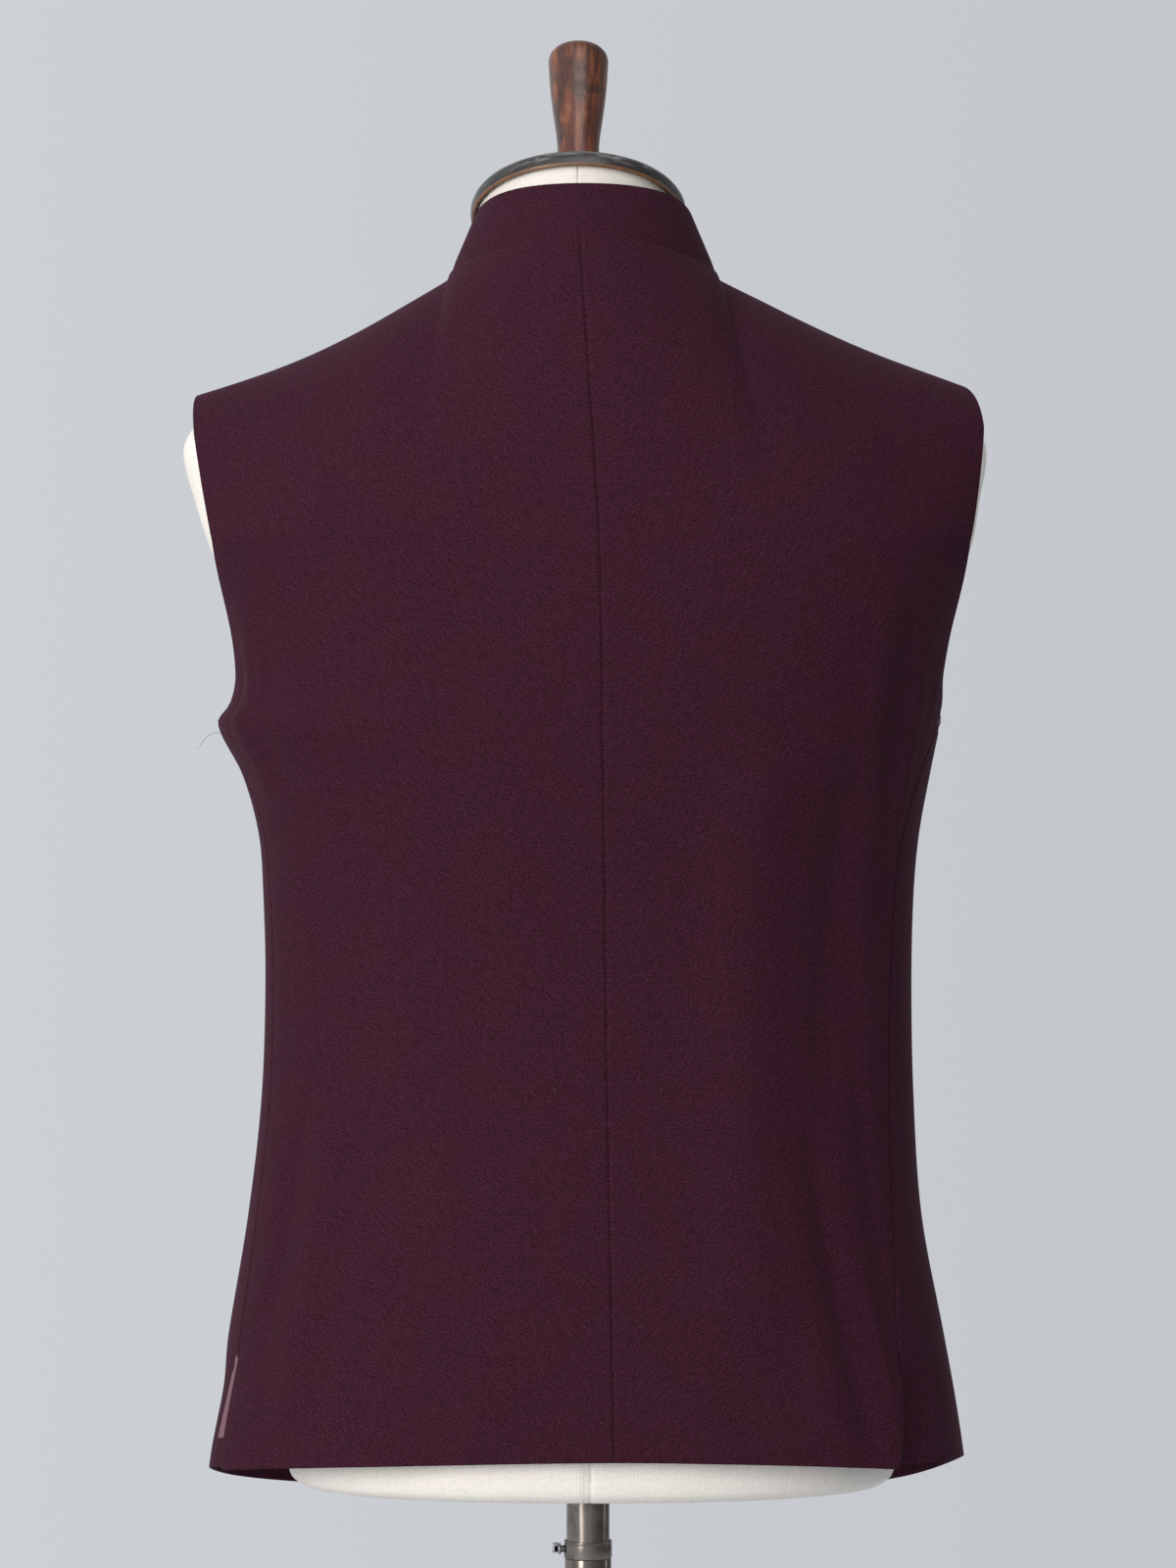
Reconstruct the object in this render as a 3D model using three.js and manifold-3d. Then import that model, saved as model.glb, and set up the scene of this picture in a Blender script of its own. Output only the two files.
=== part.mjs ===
// Sleeveless wedding waistcoat with a band collar, closed with five buttons, on a limbless
// dress form that stands on a telescopic steel pole and a round cast base.
// Millimetres, +Z up. The origin is the centre of the base's underside, on the floor.
// The front of the waistcoat faces -Y, the wearer's left is +X.
import Module from 'manifold-3d';
import * as THREE from 'three';
import { mergeVertices } from 'three/addons/utils/BufferGeometryUtils.js';

// Cloth
const WALL = 2;                 // outer cloth, interlining and lining together
const SEAM_GAP = 0.3;           // clearance between sewn pieces
const FRONT_EXTENSION = 12;     // each front runs this far past the centre front

// The right front lies under the left one from an edge (x), with a run over which it dips
const UNDERLAP = { drop: WALL + 1.3, edge: -48, run: 22 };

// Half-widths and depths of the waistcoat by height: left and right of the centre, back and front,
// and how much squarer than an ellipse the section is
const BODY_SECTIONS = [
  { z: 585, left: 215.5, right: 214.5, back: 119, front: 134, square: 0.12 },
  { z: 616, left: 212, right: 211, back: 118, front: 133, square: 0.11 },
  { z: 649, left: 206, right: 206, back: 116, front: 132, square: 0.1 },
  { z: 682, left: 202, right: 200, back: 113, front: 130, square: 0.08 },
  { z: 749, left: 191, right: 187.5, back: 106, front: 126.5, square: 0.06 },
  { z: 815, left: 183.5, right: 183, back: 100, front: 121.5, square: 0.04 },
  { z: 880, left: 181.3, right: 181.8, back: 98, front: 118.5, square: 0.04 },
  { z: 930, left: 182.5, right: 183, back: 102.5, front: 118.5, square: 0.05 },
  { z: 963, left: 185, right: 186, back: 107.5, front: 120.5, square: 0.07 },
  { z: 996, left: 194, right: 192, back: 113, front: 123, square: 0.09 },
  { z: 1025, left: 208, right: 198, back: 118, front: 125, square: 0.1 },
  { z: 1036, left: 202, right: 200.5, back: 119.5, front: 125, square: 0.11 },
  { z: 1052, left: 200, right: 202.5, back: 121.5, front: 125.5, square: 0.12 },
  { z: 1085, left: 207, right: 210.5, back: 124.5, front: 125, square: 0.14 },
  { z: 1130, left: 228, right: 232, back: 126, front: 122, square: 0.16 },
];

// Side seam, in degrees round the section from the centre back, on each side
const SIDE_SEAM = [
  { z: 600, left: 67.4, right: 48.5 },
  { z: 627, left: 71.3, right: 52.2 },
  { z: 652, left: 72.8, right: 54.8 },
  { z: 682, left: 71.8, right: 56.3 },
  { z: 749, left: 73.9, right: 62.6 },
  { z: 880, left: 74.7, right: 66.5 },
  { z: 963, left: 76.2, right: 68.3 },
  { z: 1000, left: 80.4, right: 72.6 },
  { z: 1025, left: 86.5, right: 80 },
];

// Armhole edge of the back and of the front, in degrees round the section
const ARMHOLE = [
  { z: 1025, left: 86.5, right: 80, front: 88 },
  { z: 1034, left: 81.7, right: 79.3, front: 97 },
  { z: 1052, left: 77.7, right: 76, front: 104 },
  { z: 1085, left: 73, right: 73.2, front: 108.5 },
  { z: 1125, left: 62.8, right: 62.7, front: 116 },
];

// Centre-back seam: how far it lies to the wearer's left of the middle
const CENTRE_BACK = [
  { z: 620, x: -13 },
  { z: 720, x: -12 },
  { z: 880, x: -9.5 },
  { z: 1050, x: -7 },
  { z: 1180, x: -3.5 },
  { z: 1292, x: 4.5 },
];

const BACK_HEM = { centre: 624, left: 611.5, right: 616 };
const FRONT_HEM = { centre: 582.5, left: 612.5, right: 618.2 };
// A front's hem falls a little from the side seam, the rim, and then to the centre
const HEM_FALL = { end: 0.27, left: 0.9, right: 0.72, run: 0.2, rim: 0.13, rimFrom: 0.6 };
const BLADE_LINE = { centre: 1130, side: 1125 };
const CHEST_LINE = { centre: 1080, side: 1106 };
const VENT_TOP = 682;
const VENT = {
  backLift: 2.5, frontTuck: 6.5, frontRun: 32, underlap: 10, underlapStart: 0.45,
  open: 0.6, openRun: 16, reach: 42,
};
const ROW_CURVE = 1.6;          // how flat a row of points runs near the centre before it turns to the hem
const BODY_ROWS = [638, 664, VENT_TOP, 730, 790, 850, 910, 963, 1000, 1025, 1034, 1052, 1082];
const SHOULDER_ROWS = [0.18, 0.36, 0.54, 0.7, 0.86, 1];
const PANEL_COLUMNS = { neck: 6, shoulder: 10 };

// Neck seam, a ring that falls towards the front, and the shoulder seams
const NECK = {
  x: 2.5, halfWidth: 75.5, y: 12.5, halfDepth: 70.5,
  side: 1273.5, linear: 16.4, square: -13.5, cube: 15.6,
};
const COLLAR_TOP = {
  x: 2.5, halfWidth: 61.8, y: 4, halfDepth: 58,
  side: 1304, linear: 31, square: -12, cube: 0,
};
const COLLAR = { seat: 1.1, endGap: 2.5, cornerDrop: 9, columns: 48, rows: 3 };
// Shoulder tips, how far the seam sags below a straight line, and how far the armhole edge
// swells outwards under the tip
const SHOULDER_TIP = {
  left: { x: 219, y: 4, z: 1209, sag: 6.2, swell: 3 },
  right: { x: -207, y: 4, z: 1214.5, sag: 2.7, swell: 12 },
};
const SWELL = { full: 0.72, growth: 0.85, round: 8, edge: 0.7 };
const NECK_SHARE = 0.36;        // share of a panel's top edge that is neck seam
const NECK_POINT_RUN = 0.2;     // share of the neck seam over which it comes to the shoulder seam
const TOP_TURN = { backNeck: 40, frontNeck: 48, shoulder: 90 };

// Soft folds: a line round the body from one height to another, with its width and height
const FOLD_FADE = 25;           // a fold fades out over this height past each end
const FOLD_RADIUS = 190;        // radius of the body that turns an angle to a width
const FOLDS = [
  { name: 'left underarm ridge', low: 990, high: 1085, lowAt: 67, highAt: 65, width: 9, height: 3 },
  { name: 'left underarm trough', low: 985, high: 1065, lowAt: 58, highAt: 57, width: 9, height: -2.5 },
  { name: 'right underarm ridge', low: 1005, high: 1090, lowAt: -50, highAt: -47, width: 10, height: 2.5 },
  { name: 'right underarm trough', low: 985, high: 1085, lowAt: -58, highAt: -55, width: 9, height: -3 },
  { name: 'right side ridge', low: 970, high: 1050, lowAt: -65, highAt: -63, width: 8, height: 2.5 },
  { name: 'right waist turn', low: 700, high: 1000, lowAt: -27, highAt: -28, width: 27, height: 4.5 },
  { name: 'right waist hollow', low: 820, high: 1000, lowAt: -46, highAt: -47, width: 18, height: -3 },
  { name: 'right skirt ridge', low: 625, high: 770, lowAt: -40, highAt: -37, width: 12, height: 3.5 },
  { name: 'right skirt trough', low: 620, high: 800, lowAt: -47, highAt: -43, width: 9, height: -4 },
  { name: 'left skirt ridge', low: 640, high: 810, lowAt: 50, highAt: 48, width: 15, height: 3 },
  { name: 'left skirt trough', low: 680, high: 800, lowAt: 60, highAt: 58, width: 11, height: -2.5 },
  { name: 'left front drape', low: 600, high: 830, lowAt: 128, highAt: 122, width: 17, height: 3.5 },
  { name: 'right front drape', low: 600, high: 790, lowAt: -131, highAt: -124, width: 16, height: 3 },
  { name: 'left chest break', low: 1000, high: 1090, lowAt: 118, highAt: 121, width: 12, height: 2.5 },
  { name: 'right chest break', low: 990, high: 1085, lowAt: -117, highAt: -120, width: 12, height: 3 },
];

// Strip of lining that shows at the left vent
const LINING_STRIP = {
  low: 629, high: 660, peek: 8.5, peekStart: 0.45, peekRun: 0.35, under: 16, drop: WALL + 0.5,
  wall: 1.2, rows: 5, columns: 3,
};

// Buttons on the centre front
const BUTTON = { lift: 0.4, sides: 16 };
const BUTTON_PROFILE = [
  { radius: 0, height: 0 }, { radius: 7.5, height: 0 }, { radius: 10, height: 1.6 },
  { radius: 9.7, height: 3 }, { radius: 8.4, height: 4 }, { radius: 6.6, height: 3.1 },
  { radius: 0, height: 2.8 },
];
const BUTTON_HEIGHTS = [1196, 1093, 990, 887, 784];

// Dress form: canvas torso with shoulder stubs
const TORSO_SIDES = 36;
const TORSO_SECTIONS = [
  { z: 600, mid: 0, left: 160, right: 160, back: 102, front: 106, power: 2.3 },
  { z: 604, mid: 0, left: 165.5, right: 165.5, back: 107.5, front: 111.5, power: 2.3 },
  { z: 614, mid: 0, left: 167.8, right: 167.8, back: 110, front: 114, power: 2.3 },
  { z: 680, mid: 0, left: 166, right: 166, back: 104, front: 112, power: 2.25 },
  { z: 760, mid: 0, left: 159, right: 159, back: 94, front: 107, power: 2.2 },
  { z: 840, mid: 0, left: 155, right: 155, back: 87, front: 104, power: 2.2 },
  { z: 920, mid: 0, left: 158, right: 158, back: 91, front: 105, power: 2.2 },
  { z: 990, mid: 0, left: 167, right: 166, back: 104, front: 111, power: 2.2 },
  { z: 1045, mid: 0, left: 178, right: 177, back: 112, front: 114, power: 2.2 },
  { z: 1085, mid: 0, left: 195, right: 195, back: 115, front: 113, power: 2.1 },
  { z: 1120, mid: 0, left: 212, right: 215, back: 116, front: 108, power: 2 },
  { z: 1150, mid: 0, left: 222, right: 221, back: 115, front: 101, power: 1.95 },
  { z: 1178, mid: 1, left: 228.5, right: 225, back: 112, front: 90, power: 1.85 },
  { z: 1192, mid: 2, left: 222, right: 219, back: 109, front: 81, power: 1.7 },
  { z: 1204.5, mid: 3.5, left: 208, right: 208, back: 103, front: 69, power: 1.6 },
  { z: 1227, mid: 6.6, left: 161, right: 167, back: 93, front: 53, power: 1.5 },
  { z: 1250, mid: 9.1, left: 109, right: 111.5, back: 79, front: 48, power: 1.6 },
];
const TORSO_SOCKET = { radius: 12.6, depth: 40 };

// Neck, wooden cap and finial lie square to one axis that leans forward
const NECK_LEAN = 25;
const NECK_AXIS = { x: 5.5, y: 0, z: 1309.5 };
const NECK_RINGS = [
  { radius: 54.8, height: -38.5 }, { radius: 54, height: -24.5 }, { radius: 54.8, height: -8 },
  { radius: 57.4, height: -SEAM_GAP },
];
const CAP_SIDES = 40;
const CAP_PROFILE = [
  { radius: 0, height: 0 }, { radius: 58.5, height: 0 }, { radius: 60, height: 1.5 },
  { radius: 59.6, height: 5 }, { radius: 57, height: 9 }, { radius: 48, height: 11 },
  { radius: 25, height: 13 }, { radius: 15, height: 14 }, { radius: 0, height: 14 },
];
const FINIAL_SIDES = 24;
const FINIAL_PROFILE = [
  { radius: 0, height: 14.3 }, { radius: 11.8, height: 14.3 }, { radius: 11.8, height: 46 },
  { radius: 13.4, height: 61 }, { radius: 15.6, height: 79.5 }, { radius: 17, height: 101 },
  { radius: 16.3, height: 106 }, { radius: 12.5, height: 109.4 }, { radius: 0, height: 110.5 },
];

// Telescopic pole, clamp ring with its thumb screw, and base
const POLE_SIDES = 28;
const INNER_TUBE = { radius: 12.1, wall: 1.5, low: 250 };
const OUTER_TUBE = { radius: 13.1, wall: 0.7, top: 556 };
const CLAMP_RING = { radius: 13.5, low: 556.3, high: 566 };
const THUMB_SCREW = {
  z: 561, shank: 2.1, hole: 2.5, tip: 12.9, tabStart: 14.2, tabEnd: 19.5, tabHeight: 7.2, tabWidth: 2.2,
  sides: 16,
};
const DRILL_RUN = 3;            // the drill starts and ends this far clear of the ring's wall
const BASE_SIDES = 56;
const BASE_BORE = { radius: OUTER_TUBE.radius + SEAM_GAP, floor: 8 };
const BASE_PROFILE = [
  { radius: 0, height: 0 }, { radius: 178, height: 0 }, { radius: 180, height: 2 },
  { radius: 180, height: 4 }, { radius: 177, height: 6 }, { radius: 140, height: 8.5 },
  { radius: 56, height: 11 }, { radius: 34, height: 16 }, { radius: 25, height: 19 },
  { radius: 22, height: 25 }, { radius: 20, height: 67 }, { radius: 18, height: 70 },
  { radius: BASE_BORE.radius, height: 70 }, { radius: BASE_BORE.radius, height: BASE_BORE.floor },
  { radius: 0, height: BASE_BORE.floor },
];

const COLOURS = {
  cloth: 0x43202e, lining: 0x7a4a58, button: 0x3b1c28, canvas: 0xe9e4de,
  capWood: 0x3a302c, finialWood: 0x5b3325, steel: 0x9a9c9e, iron: 0x26272a,
};

const TO_RADIANS = Math.PI / 180;
const lerp = (a, b, s) => a + (b - a) * s;
const smooth = (s) => {
  const c = Math.min(1, Math.max(0, s));
  return c * c * (3 - 2 * c);
};

// Reads one column of a table at any key, along a smooth curve through its rows
function lookUp(table, key, value, column) {
  const last = table.length - 1;
  if (value <= table[0][key]) return table[0][column];
  if (value >= table[last][key]) return table[last][column];
  let i = 0;
  while (table[i + 1][key] < value) i += 1;
  const slope = (j) => {
    const low = table[Math.max(0, j - 1)];
    const high = table[Math.min(last, j + 1)];
    return (high[column] - low[column]) / (high[key] - low[key]);
  };
  const step = table[i + 1][key] - table[i][key];
  const s = (value - table[i][key]) / step;
  const start = table[i][column];
  const end = table[i + 1][column];
  const a = 2 * s ** 3 - 3 * s ** 2 + 1;
  const b = s ** 3 - 2 * s ** 2 + s;
  const c = s ** 3 - s ** 2;
  return a * start + b * step * slope(i) + (1 - a) * end + c * step * slope(i + 1);
}

// How far the folds raise the cloth at an angle (degrees from the centre back) and a height
function foldHeight(angle, z) {
  let height = 0;
  for (const fold of FOLDS) {
    const along = (z - fold.low) / (fold.high - fold.low);
    const at = lerp(fold.lowAt, fold.highAt, Math.min(1, Math.max(0, along)));
    const fadeIn = smooth((z - fold.low + FOLD_FADE) / (2 * FOLD_FADE));
    const fadeOut = smooth((fold.high + FOLD_FADE - z) / (2 * FOLD_FADE));
    const across = ((angle - at) * TO_RADIANS * FOLD_RADIUS) / fold.width;
    height += fold.height * fadeIn * fadeOut * Math.exp(-across * across);
  }
  return height;
}

// A point of the cloth's outer face: angle from the centre back, positive on the wearer's left
function bodyPoint(angle, z, lift = 0) {
  const sine = Math.sin(angle * TO_RADIANS);
  const cosine = Math.cos(angle * TO_RADIANS);
  const width = lookUp(BODY_SECTIONS, 'z', z, angle >= 0 && angle <= 180 ? 'left' : 'right');
  const depth = lookUp(BODY_SECTIONS, 'z', z, cosine > 0 ? 'back' : 'front');
  const square = lookUp(BODY_SECTIONS, 'z', z, 'square');
  const x = width * sine * (1 + square * cosine * cosine);
  const y = depth * cosine * (1 + square * sine * sine);
  const out = new THREE.Vector3(sine * depth, cosine * width, 0).normalize();
  return new THREE.Vector3(x, y, z).addScaledVector(out, lift + foldHeight(angle, z));
}

// A ring round the neck, at an angle in degrees from the centre back
function neckRing(ring, angle) {
  const c = Math.cos(angle * TO_RADIANS);
  const rise = ring.linear * c + ring.square * c * c + ring.cube * c ** 3;
  return new THREE.Vector3(
    ring.x + ring.halfWidth * Math.sin(angle * TO_RADIANS),
    ring.y + ring.halfDepth * c,
    ring.side + rise,
  );
}

// A closed wall between an outer face, given as a function of (u, v), and its offset inwards
function wallGeometry(face, us, vs, wall, flip) {
  const columns = us.length;
  const rows = vs.length;
  const positions = [];
  const inner = [];
  for (const v of vs) {
    for (const u of us) {
      const point = face(u, v);
      positions.push(point);
      inner.push(point.clone().addScaledVector(faceNormal(face, u, v, flip), -wall));
    }
  }
  const count = positions.length;
  const points = positions.concat(inner);
  const triangles = [];
  const quad = (a, b, c, d) => {
    if (flip) triangles.push(a, c, b, a, d, c);
    else triangles.push(a, b, c, a, c, d);
  };
  const at = (i, j) => i * columns + j;
  for (let i = 0; i < rows - 1; i += 1) {
    for (let j = 0; j < columns - 1; j += 1) {
      quad(at(i, j), at(i, j + 1), at(i + 1, j + 1), at(i + 1, j));
      quad(count + at(i, j), count + at(i + 1, j), count + at(i + 1, j + 1), count + at(i, j + 1));
    }
  }
  for (let j = 0; j < columns - 1; j += 1) {
    const top = rows - 1;
    quad(at(0, j), count + at(0, j), count + at(0, j + 1), at(0, j + 1));
    quad(at(top, j), at(top, j + 1), count + at(top, j + 1), count + at(top, j));
  }
  for (let i = 0; i < rows - 1; i += 1) {
    const end = columns - 1;
    quad(at(i, 0), at(i + 1, 0), count + at(i + 1, 0), count + at(i, 0));
    quad(at(i, end), count + at(i, end), count + at(i + 1, end), at(i + 1, end));
  }
  return toGeometry(points, triangles);
}

function toGeometry(points, triangles) {
  const geometry = new THREE.BufferGeometry();
  geometry.setAttribute(
    'position',
    new THREE.Float32BufferAttribute(points.flatMap((p) => [p.x, p.y, p.z]), 3),
  );
  geometry.setIndex(triangles);
  return geometry;
}

// A solid lofted through closed rings of equally many points, closed at both ends by a fan
function loftGeometry(rings, firstCentre, lastCentre) {
  const sides = rings[0].length;
  const points = rings.flat();
  const triangles = [];
  for (let i = 0; i < rings.length - 1; i += 1) {
    for (let j = 0; j < sides; j += 1) {
      const next = (j + 1) % sides;
      const a = i * sides + j;
      const b = i * sides + next;
      triangles.push(a, b, b + sides, a, b + sides, a + sides);
    }
  }
  const first = points.length;
  points.push(firstCentre, lastCentre);
  const top = (rings.length - 1) * sides;
  for (let j = 0; j < sides; j += 1) {
    const next = (j + 1) % sides;
    triangles.push(first, next, j);
    triangles.push(first + 1, top + j, top + next);
  }
  return toGeometry(points, triangles);
}

// A turned solid about +Z from the rows of its profile
function turnedGeometry(profile, sides) {
  const points = profile.map((row) => new THREE.Vector2(row.radius, row.height));
  const geometry = new THREE.LatheGeometry(points, sides);
  geometry.rotateX(Math.PI / 2);
  geometry.deleteAttribute('uv');
  geometry.deleteAttribute('normal');
  return mergeVertices(geometry, 1e-4);
}

const part = new THREE.Group();

function addMesh(name, geometry, colour, roughness = 0.9, metalness = 0) {
  const material = new THREE.MeshStandardMaterial({ color: colour, roughness, metalness });
  const mesh = new THREE.Mesh(geometry, material);
  mesh.name = name;
  part.add(mesh);
  return mesh;
}

// Top edge of a panel: neck seam from u = 0, then the shoulder seam out to the tip
function topEdge(side, isBack, u, startAngle) {
  const sign = side === 'left' ? 1 : -1;
  const apart = (isBack ? 1 : -1) * SEAM_GAP / 2;
  if (u <= NECK_SHARE) {
    const share = u / NECK_SHARE;
    const point = neckRing(NECK, lerp(startAngle, sign * 90, share));
    point.y += apart * smooth((share - 1 + NECK_POINT_RUN) / NECK_POINT_RUN);
    return point;
  }
  const s = (u - NECK_SHARE) / (1 - NECK_SHARE);
  const start = neckRing(NECK, sign * 90);
  const tip = SHOULDER_TIP[side];
  return new THREE.Vector3(
    lerp(start.x, tip.x, s),
    lerp(start.y, tip.y, s) + apart,
    lerp(start.z, tip.z, s) - tip.sag * Math.sin(Math.PI * Math.min(1, s)),
  );
}

// Angle of a panel's outer edge: side seam below the armhole, armhole edge above it
function outerAngle(side, isBack, z) {
  const table = z <= ARMHOLE[0].z ? SIDE_SEAM : ARMHOLE;
  const column = !isBack && table === ARMHOLE ? 'front' : side;
  return lookUp(table, 'z', z, column);
}

// How far down its row a front's point lies at u: level at the side, and down at the centre
function rowShare(side, isBack, u, share) {
  const even = Math.abs(u) ** ROW_CURVE;
  if (isBack) return even;
  const main = smooth((u - HEM_FALL.end) / (HEM_FALL[side] - HEM_FALL.end));
  const rim = smooth((u - HEM_FALL.rimFrom) / (1 - HEM_FALL.rimFrom));
  return lerp(lerp(main, rim, HEM_FALL.rim), even, smooth(share / HEM_FALL.run));
}

// How far the armhole edge swells outwards at a share of its rise to the shoulder tip
function edgeSwell(side, u, rise) {
  const grown = Math.min(1, (Math.max(0, rise) / SWELL.full) ** SWELL.growth);
  const rounded = Math.sqrt(Math.max(0, 1 - rise ** SWELL.round));
  return SHOULDER_TIP[side].swell * grown * rounded * smooth((u - SWELL.edge) / (1 - SWELL.edge));
}

// How far the vent spreads the two edges at a height
const ventShare = (z) => smooth((VENT_TOP - z) / (VENT_TOP - BACK_HEM.left));

function panelFace(side, isBack) {
  const sign = side === 'left' ? 1 : -1;
  const hem = isBack ? BACK_HEM : FRONT_HEM;
  const line = isBack ? BLADE_LINE : CHEST_LINE;
  const half = SEAM_GAP / 2;
  const innerAngle = (z) => {
    if (isBack) {
      const x = lookUp(CENTRE_BACK, 'z', z, 'x') + sign * half;
      return Math.asin(x / lookUp(BODY_SECTIONS, 'z', z, 'left')) / TO_RADIANS;
    }
    const past = FRONT_EXTENSION / lookUp(BODY_SECTIONS, 'z', z, side);
    return sign * (180 + past / TO_RADIANS);
  };
  const bodyFace = (u, zOuter) => {
    const share = (zOuter - hem[side]) / (line.side - hem[side]);
    const zInner = lerp(hem.centre, line.centre, share);
    const z = lerp(zInner, zOuter, rowShare(side, isBack, u, share));
    const width = lookUp(BODY_SECTIONS, 'z', z, side);
    const open = half + VENT.open * smooth((VENT_TOP - zOuter) / VENT.openRun);
    const gap = ((isBack ? -1 : 1) * open) / width / TO_RADIANS;
    const tuckShare = (ventShare(zOuter) - VENT.underlapStart) / (1 - VENT.underlapStart);
    const tucked = smooth(tuckShare) * VENT.underlap;
    const tuck = isBack ? 0 : tucked / width / TO_RADIANS;
    const outer = sign * (outerAngle(side, isBack, zOuter) + gap - tuck);
    const angle = lerp(innerAngle(zInner), outer, u);
    const fromEdge = (Math.abs(angle - outer) * TO_RADIANS * width) / VENT.reach;
    const opened = isBack ? ventShare(z) : smooth((VENT_TOP - z) / VENT.frontRun);
    const spread = opened * Math.exp(-fromEdge * fromEdge);
    const lift = spread * (isBack ? VENT.backLift : -VENT.frontTuck);
    return bodyPoint(angle, z, lift);
  };
  return (u, v) => {
    // v runs through the body rows from 0 to 1, then over the shoulder from 1 to 2
    if (v <= 1) return bodyFace(u, lerp(hem[side], line.side, v));
    const w = v - 1;
    const uu = Math.max(0, u);
    const base = bodyFace(u, line.side);
    const backSeam = CENTRE_BACK[CENTRE_BACK.length - 1].x + sign * half;
    const neckInner = isBack
      ? Math.asin((backSeam - NECK.x) / NECK.halfWidth) / TO_RADIANS
      : sign * (180 + FRONT_EXTENSION / NECK.halfWidth / TO_RADIANS);
    const top = topEdge(side, isBack, u, neckInner);
    const neckTurn = isBack ? TOP_TURN.backNeck : TOP_TURN.frontNeck;
    const turn = lerp(neckTurn, TOP_TURN.shoulder, smooth(uu / NECK_SHARE)) * TO_RADIANS;
    const rise = Math.sin(w * turn) / Math.sin(turn);
    const reach = (Math.cos(w * turn) - Math.cos(turn)) / (1 - Math.cos(turn));
    return new THREE.Vector3(
      lerp(base.x, top.x, rise) + sign * edgeSwell(side, u, rise),
      lerp(top.y, base.y, reach),
      lerp(base.z, top.z, rise),
    );
  };
}

// The outward normal of a face at (u, v)
function faceNormal(face, u, v, flip) {
  const step = 1e-3;
  const along = face(u + step, v).sub(face(u - step, v));
  const up = face(u, v + step).sub(face(u, v - step));
  return along.cross(up).normalize().multiplyScalar(flip ? -1 : 1);
}

// The right front dips under the left one near the centre front
function dippedFace(face, flip) {
  return (u, v) => {
    const point = face(u, v);
    const share = smooth((point.x - UNDERLAP.edge) / UNDERLAP.run);
    if (share > 0) point.addScaledVector(faceNormal(face, u, v, flip), -UNDERLAP.drop * share);
    return point;
  };
}

function addPanel(name, side, isBack) {
  const hem = isBack ? BACK_HEM : FRONT_HEM;
  const line = isBack ? BLADE_LINE : CHEST_LINE;
  const { neck, shoulder } = PANEL_COLUMNS;
  const us = [];
  for (let j = 0; j <= neck; j += 1) us.push((NECK_SHARE * j) / neck);
  for (let j = 1; j <= shoulder; j += 1) us.push(lerp(NECK_SHARE, 1, j / shoulder));
  const share = (z) => (z - hem[side]) / (line.side - hem[side]);
  const vs = [0, ...BODY_ROWS.map(share), 1, ...SHOULDER_ROWS.map((w) => 1 + w)];
  const flip = (side === 'left') === isBack;
  const plain = panelFace(side, isBack);
  const face = side === 'right' && !isBack ? dippedFace(plain, flip) : plain;
  addMesh(name, wallGeometry(face, us, vs, WALL, flip), COLOURS.cloth);
}

addPanel('back_left', 'left', true);
addPanel('back_right', 'right', true);
addPanel('front_left', 'left', false);
addPanel('front_right', 'right', false);

// Band collar: one strip round the neck, its ends meeting at the centre front with round corners
function addCollar() {
  const endAngle = 180 - COLLAR.endGap / 2 / NECK.halfWidth / TO_RADIANS;
  const face = (u, v) => {
    const angle = lerp(-endAngle, endAngle, u);
    const foot = neckRing(NECK, angle);
    const top = neckRing(COLLAR_TOP, angle);
    const fromEnd = (endAngle - Math.abs(angle)) * TO_RADIANS * COLLAR_TOP.halfWidth;
    const corner = 1 - Math.min(1, Math.max(0, fromEnd / COLLAR.cornerDrop));
    const cut = COLLAR.cornerDrop * (1 - Math.sqrt(1 - corner * corner));
    const height = top.distanceTo(foot);
    const point = foot.lerp(top, v * (1 - cut / height));
    point.z += COLLAR.seat;
    return point;
  };
  const us = [];
  for (let j = 0; j <= COLLAR.columns; j += 1) us.push(j / COLLAR.columns);
  const vs = [];
  for (let i = 0; i <= COLLAR.rows; i += 1) vs.push(i / COLLAR.rows);
  addMesh('collar', wallGeometry(face, us, vs, WALL, true), COLOURS.cloth);
}
addCollar();

// Lining strip that shows past the back's edge at the left vent
function addLiningStrip() {
  const back = panelFace('left', true);
  const face = (u, v) => {
    const z = lerp(LINING_STRIP.low, LINING_STRIP.high, v);
    const share = (z - BACK_HEM.left) / (BLADE_LINE.side - BACK_HEM.left);
    const edge = back(1, share);
    const inside = back(0.9, share);
    const along = edge.clone().sub(inside).normalize();
    const up = back(1, share + 1e-3).sub(back(1, share - 1e-3));
    const normal = up.cross(along).normalize();
    const swell = Math.min(1, Math.max(0, LINING_STRIP.peekStart + LINING_STRIP.peekRun * v));
    const distance = lerp(-LINING_STRIP.under, LINING_STRIP.peek * Math.sin(Math.PI * swell), u);
    return edge.addScaledVector(along, distance).addScaledVector(normal, -LINING_STRIP.drop);
  };
  const us = [];
  for (let j = 0; j <= LINING_STRIP.columns; j += 1) us.push(j / LINING_STRIP.columns);
  const vs = [];
  for (let i = 0; i <= LINING_STRIP.rows; i += 1) vs.push(i / LINING_STRIP.rows);
  const geometry = wallGeometry(face, us, vs, LINING_STRIP.wall, true);
  addMesh('vent_lining_left', geometry, COLOURS.lining, 0.4);
}
addLiningStrip();

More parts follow.
